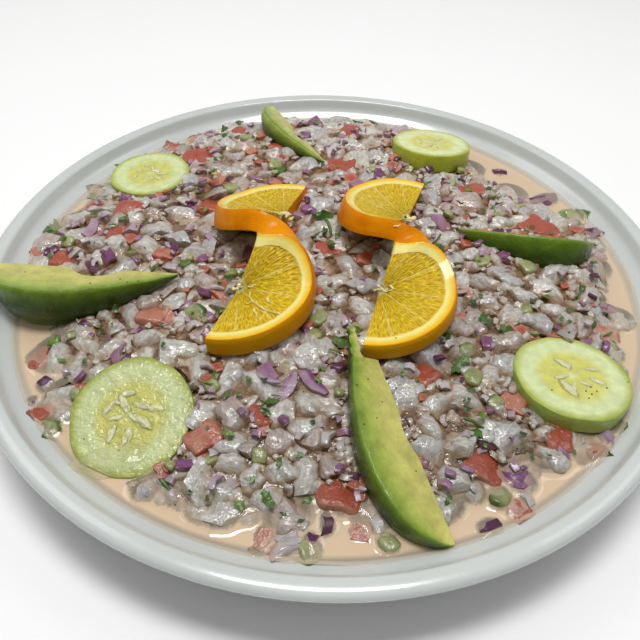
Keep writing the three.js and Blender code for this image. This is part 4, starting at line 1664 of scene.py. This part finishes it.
def layAllSpots(kinds, seed):
    rng = random.Random(seed)
    for kind in kinds:
        rule = kindLook[kind]
        thin = kind in ("onion", "sliver", "herb", "stem")
        for x, y, width, shade in spots[kind]:
            place, scale = pixelSpot(x, y, wholeTree if kind == "speck" else saladTree)
            size = width * scale * rule["grow"]
            inBroth = place.z < brothLevel + 0.5 * mm
            top = place.z + rule["proud"] * mm + 1.6 * mm * inBroth + 0.06 * max(0, size - 20 * mm)
            if thin:
                top = max(top, levelUnder(carried, place.x, place.y, size * 0.3) + 1.0 * mm)
            lay(kind, place.x, place.y, size, top, shade, rng, thin)


fillPasses = (
    # kinds with their share, smallest and largest width, the depth a place must still have,
    # how far centres keep apart, and how high the tops stand over the outline
    {"kinds": (("shrimp", 1.0),), "width": (19.0, 27.0), "need": 3.4, "apart": 0.60, "rise": (0.2, 1.4)},
    {"kinds": (("shrimp", 0.91), ("tomato", 0.09)), "width": (12.0, 17.0), "need": 3.0, "apart": 0.50,
     "rise": (-0.5, 0.9)},
    {"kinds": (("shrimp", 0.54), ("tomato", 0.14), ("green", 0.05), ("onion", 0.27)), "width": (6.5, 10.0),
     "need": 2.2, "apart": 0.40, "rise": (-1.3, 0.2)},
    {"kinds": (("shrimp", 0.48), ("tomato", 0.13), ("onion", 0.37), ("green", 0.02)), "width": (3.8, 6.0),
     "need": 1.6, "apart": 0.32, "rise": (-1.6, -0.1)},
)


def chooseKind(shares, rng):
    return rng.choices([kind for kind, _ in shares], [share for _, share in shares])[0]


def shadeOf(kind, rng):
    if kind == "onion":
        shades = (rng.uniform(0.0, 0.35), rng.uniform(0.35, 0.7), rng.uniform(0.7, 1.0))
        return rng.choices(shades, (50, 38, 12))[0]  # mostly pale, some lilac, few purple
    return rng.random()


def fillHeap():
    # each pass lays its pieces where the heap is still lowest under its outline
    mostPieces = 9000
    rng = random.Random(7)
    jitter = np.random.default_rng(7)
    for step in fillPasses:
        closed = covered | ~inHeap
        depth = np.where(closed, -1.0, target - carried) + jitter.uniform(-0.8, 0.8, target.shape) * mm
        count = 0
        for _ in range(mostPieces):
            i, j = np.unravel_index(np.argmax(depth), depth.shape)
            if depth[i, j] < step["need"] * mm:
                break
            kind = chooseKind(step["kinds"], rng)
            size = rng.uniform(*step["width"]) * mm
            x, y = steps[i] + rng.uniform(-0.5, 0.5) * cell, steps[j] + rng.uniform(-0.5, 0.5) * cell
            surface = levelUnder(target, x, y, size * 0.35)
            if surface - levelUnder(carried, x, y, size * 0.36) < step["need"] * mm:
                depth[cellsNear(x, y, 1.1 * mm)] = -1.0
                continue
            top = surface + rng.uniform(*step["rise"]) * mm
            lay(kind, x, y, size * 0.9, top, shadeOf(kind, rng), rng)
            window = cellsNear(x, y, size * 0.8)
            fresh = np.where(closed[window], -1.0, target[window] - carried[window])
            depth[window] = np.minimum(depth[window], fresh)
            apart = (gridX[window] - x) ** 2 + (gridY[window] - y) ** 2 < (size * step["apart"]) ** 2
            depth[window][apart] = -1.0
            count += 1
        print("filled in", count, "pieces of", step["width"][0], "to", step["width"][1], "mm")


sprinkleLook = {
    # how many, smallest and largest width in mm
    "onion": (190, 2.0, 4.6),
    "herb": (130, 1.8, 4.8),
    "green": (14, 3.5, 5.5),
    "stem": (10, 5.0, 8.0),
    "speck": (170, 0.5, 1.1),
}


def sprinkle():
    rng = random.Random(11)
    for kind, (count, small, large) in sprinkleLook.items():
        while count:
            angle, reach = rng.uniform(0, fullTurn), 147 * mm * math.sqrt(rng.random())
            x, y = reach * math.cos(angle), reach * math.sin(angle)
            i, j = int(round(x / cell)) + half, int(round(y / cell)) + half
            if covered[i, j] or not inHeap[i, j] or garnishTree.ray_cast(Vector((x, y, highUp)), down)[0]:
                continue
            size = rng.uniform(small, large) * mm
            lay(kind, x, y, size, highUp, shadeOf(kind, rng) ** (1 if kind == "onion" else 1.5), rng)
            count -= 1


def juiceStainAndShade(mesh):
    # 0 on the upper side of the salad and of each bit, 1 where a point is deep in the juices and the gaps,
    # low on its bit or facing aside: the juice stain, and painted shade on sides, lower parts and gaps
    deepest = 3.6 * mm
    points = pointsOf(mesh)
    i, j = (np.clip((points[:, k] / cell + half).round().astype(int), 0, across - 1) for k in (0, 1))
    top = np.where(inHeap[i, j], np.maximum(np.nan_to_num(target[i, j]), brothLevel), brothLevel + 1.0 * mm)
    normals = np.empty(len(mesh.vertices) * 3)
    mesh.vertices.foreach_get("normal", normals)
    aside = 1 - normals.reshape(-1, 3)[:, 2]
    low = np.empty(len(mesh.vertices))
    mesh.attributes["low"].data.foreach_get("value", low)
    return np.clip(0.5 * (top - points[:, 2]) / deepest + 0.70 * low + 0.25 * aside - 0.18, 0, 1)


def gather(name, kinds, material):
    # every laid copy gets a mesh of its own, then they become one piece
    copies = []
    for kind in kinds:
        for shape, place, shade in laid[kind]:
            mesh = shape.data.copy()
            setPlace(mesh, "grain", pointsOf(mesh) * place.to_scale().x + shade)
            mesh.transform(place)
            heights = pointsOf(mesh)[:, 2]
            # how low a point lies on its bit, used for the painted shade on lower parts
            setFloat(mesh, "low", (heights.max() - heights) / max(np.ptp(heights), mm))
            setFloat(mesh, "shade", np.full(len(heights), shade))
            copies.append(addObject(name, mesh))
    joined = joinAll(name, copies)
    points = pointsOf(joined.data)  # what touches the plate is pressed flat on it
    points[:, 2] = np.maximum(points[:, 2], wallHeight(np.hypot(points[:, 0], points[:, 1])) + 0.4 * mm)
    joined.data.vertices.foreach_set("co", points.ravel())
    joined.data.update()
    # the juice stain and the painted shade on sides, lower parts and gaps
    setFloat(joined.data, "deep", juiceStainAndShade(joined.data))
    handOver(joined, "seafood_salad", [material], "ceviche_heap")
    print(name, "holds", len(copies), "bits and", trianglesOf(joined.data), "triangles")


layAllSpots(("tomato", "shrimp", "green"), 3)
fillHeap()
layAllSpots(("onion", "sliver", "herb", "stem", "speck"), 5)
sprinkle()
makeCore()
shrimpFlesh, tomatoFlesh = shrimpMaterial(), tomatoMaterial()
gather("shrimp_chunks", ("shrimpLarge",), shrimpFlesh)
gather("shrimp_bits", ("shrimp",), shrimpFlesh)
gather("tomato_pieces", ("tomato", "tomatoLarge"), tomatoFlesh)
gather("onion_pieces", ("onion", "sliver"), onionMaterial())
gather("cucumber_dice", ("green",), greenMaterial())
gather("herb_leaves", ("herb", "stem"), herbMaterial())
gather("pepper_specks", ("speck",), speckMaterial())
for group in shapes.values():
    for shape in group:
        bpy.data.objects.remove(shape)
print("salad is ready")


# broth

brothLook = {
    "step": 0.7,
    "outer": 157.5,
    "inner": 104.0,
    "filmRise": 1.8,
    "filmReach": 6.0,
    "lipRise": 0.8,
    "lipReach": 3.0,
    "edgeRise": 1.0,
    "sinkUnder": 2.6,
    "cloudy": 5.0,
    "tint": (0.74, 0.56, 0.375),
    "pale": (0.78, 0.65, 0.48),
    "alphaDeep": 0.90,
    "alphaEdge": 0.26,
}


def distanceFrom(mask, reach):
    # distance to the nearest marked cell, in cells, up to a reach
    distance = np.where(mask, 0.0, reach + 1.0)
    span = int(reach) + 1
    for dx in range(-span, span + 1):
        for dy in range(-span, span + 1):
            shift = math.hypot(dx, dy)
            if shift <= reach:
                moved = np.roll(np.roll(mask, dx, 0), dy, 1)
                distance = np.where(moved, np.minimum(distance, shift), distance)
    return distance


def soften(grid, rounds):
    for _ in range(rounds):
        beside = np.roll(grid, 1, 0) + np.roll(grid, -1, 0) + np.roll(grid, 1, 1) + np.roll(grid, -1, 1)
        grid = (grid + beside) / 5
    return grid


def makeBroth():
    size = 2 * brothLook["outer"] * mm
    count = int(size / (brothLook["step"] * mm))
    broth = addPrimitive(bpy.ops.mesh.primitive_grid_add, "broth_liquid", x_subdivisions=count,
                         y_subdivisions=count, size=size)
    # distances in cells: to the heap, to the nearest bit, and from inside what hides the liquid to its edge
    toHeap = soften(distanceFrom(soften(carried, 4) > brothLevel + 1.6 * mm, 11), 10)
    toPiece = soften(distanceFrom(carried > brothLevel + 0.1 * mm, 5), 2)
    buried = distanceFrom(~(carried > brothLevel + brothLook["sinkUnder"] * mm), 4)
    points = pointsOf(broth.data)
    reach = np.hypot(points[:, 0], points[:, 1])
    cellX = np.clip(points[:, 0] / cell + half, 0, across - 1.001)
    cellY = np.clip(points[:, 1] / cell + half, 0, across - 1.001)
    i, j = cellX.astype(int), cellY.astype(int)
    fx, fy = cellX - i, cellY - j

    def sample(grid):
        return ((grid[i, j] * (1 - fx) + grid[i + 1, j] * fx) * (1 - fy)
                + (grid[i, j + 1] * (1 - fx) + grid[i + 1, j + 1] * fx) * fy)

    wall = wallHeight(reach)
    points[:, 2] = brothLevel
    # the liquid climbs the heap, each piece and the wall in a rounded lip
    for gaps, lip in ((toHeap, "film"), (toPiece, "lip")):
        near = np.clip(1 - sample(gaps) * cell / (brothLook[lip + "Reach"] * mm), 0, 1)
        points[:, 2] += brothLook[lip + "Rise"] * mm * near * near
    points[:, 2] += brothLook["edgeRise"] * mm * np.clip(1 - (brothLevel - wall) / (1.6 * mm), 0, 1) ** 2
    under = np.maximum(wall, np.where(sample(soften(carried, 1)) > brothLevel - 1.2 * mm, sample(carried), 0))
    broth.data.vertices.foreach_set("co", points.ravel())
    setFloat(broth.data, "depth", np.clip((points[:, 2] - under) / (brothLook["cloudy"] * mm), 0, 1))
    drop = (sample(buried) >= 3.5) | (reach > brothLook["outer"] * mm) | (reach < brothLook["inner"] * mm)
    editChosen(broth, "VERT", lambda vertex: drop[vertex.index])
    bpy.ops.mesh.delete(type="VERT")
    leaveEdit()
    smooth(broth)
    handOver(broth, "broth", [brothMaterial()], "broth")
    print("broth has", trianglesOf(broth.data), "triangles")


def brothMaterial():
    startMaterial("peachBroth")
    murky = mathNode("ADD", readFloat("depth"), times(minus(noiseOf(45.0, 3.0), 0.5), 0.3), True)
    color = ramp(murky, (0.1, brothLook["pale"]), (0.8, brothLook["tint"]))
    alpha = ramp(murky, (0.0, brothLook["alphaEdge"]), (0.8, brothLook["alphaDeep"]))
    return setShader(BaseColor=color, Alpha=alpha, Roughness=0.03, IOR=1.34,
                     Normal=bumpOf(noiseOf(60.0), 0.10, 0.0012), CoatWeight=0.7, CoatRoughness=0.02)


makeBroth()
print("broth is ready")
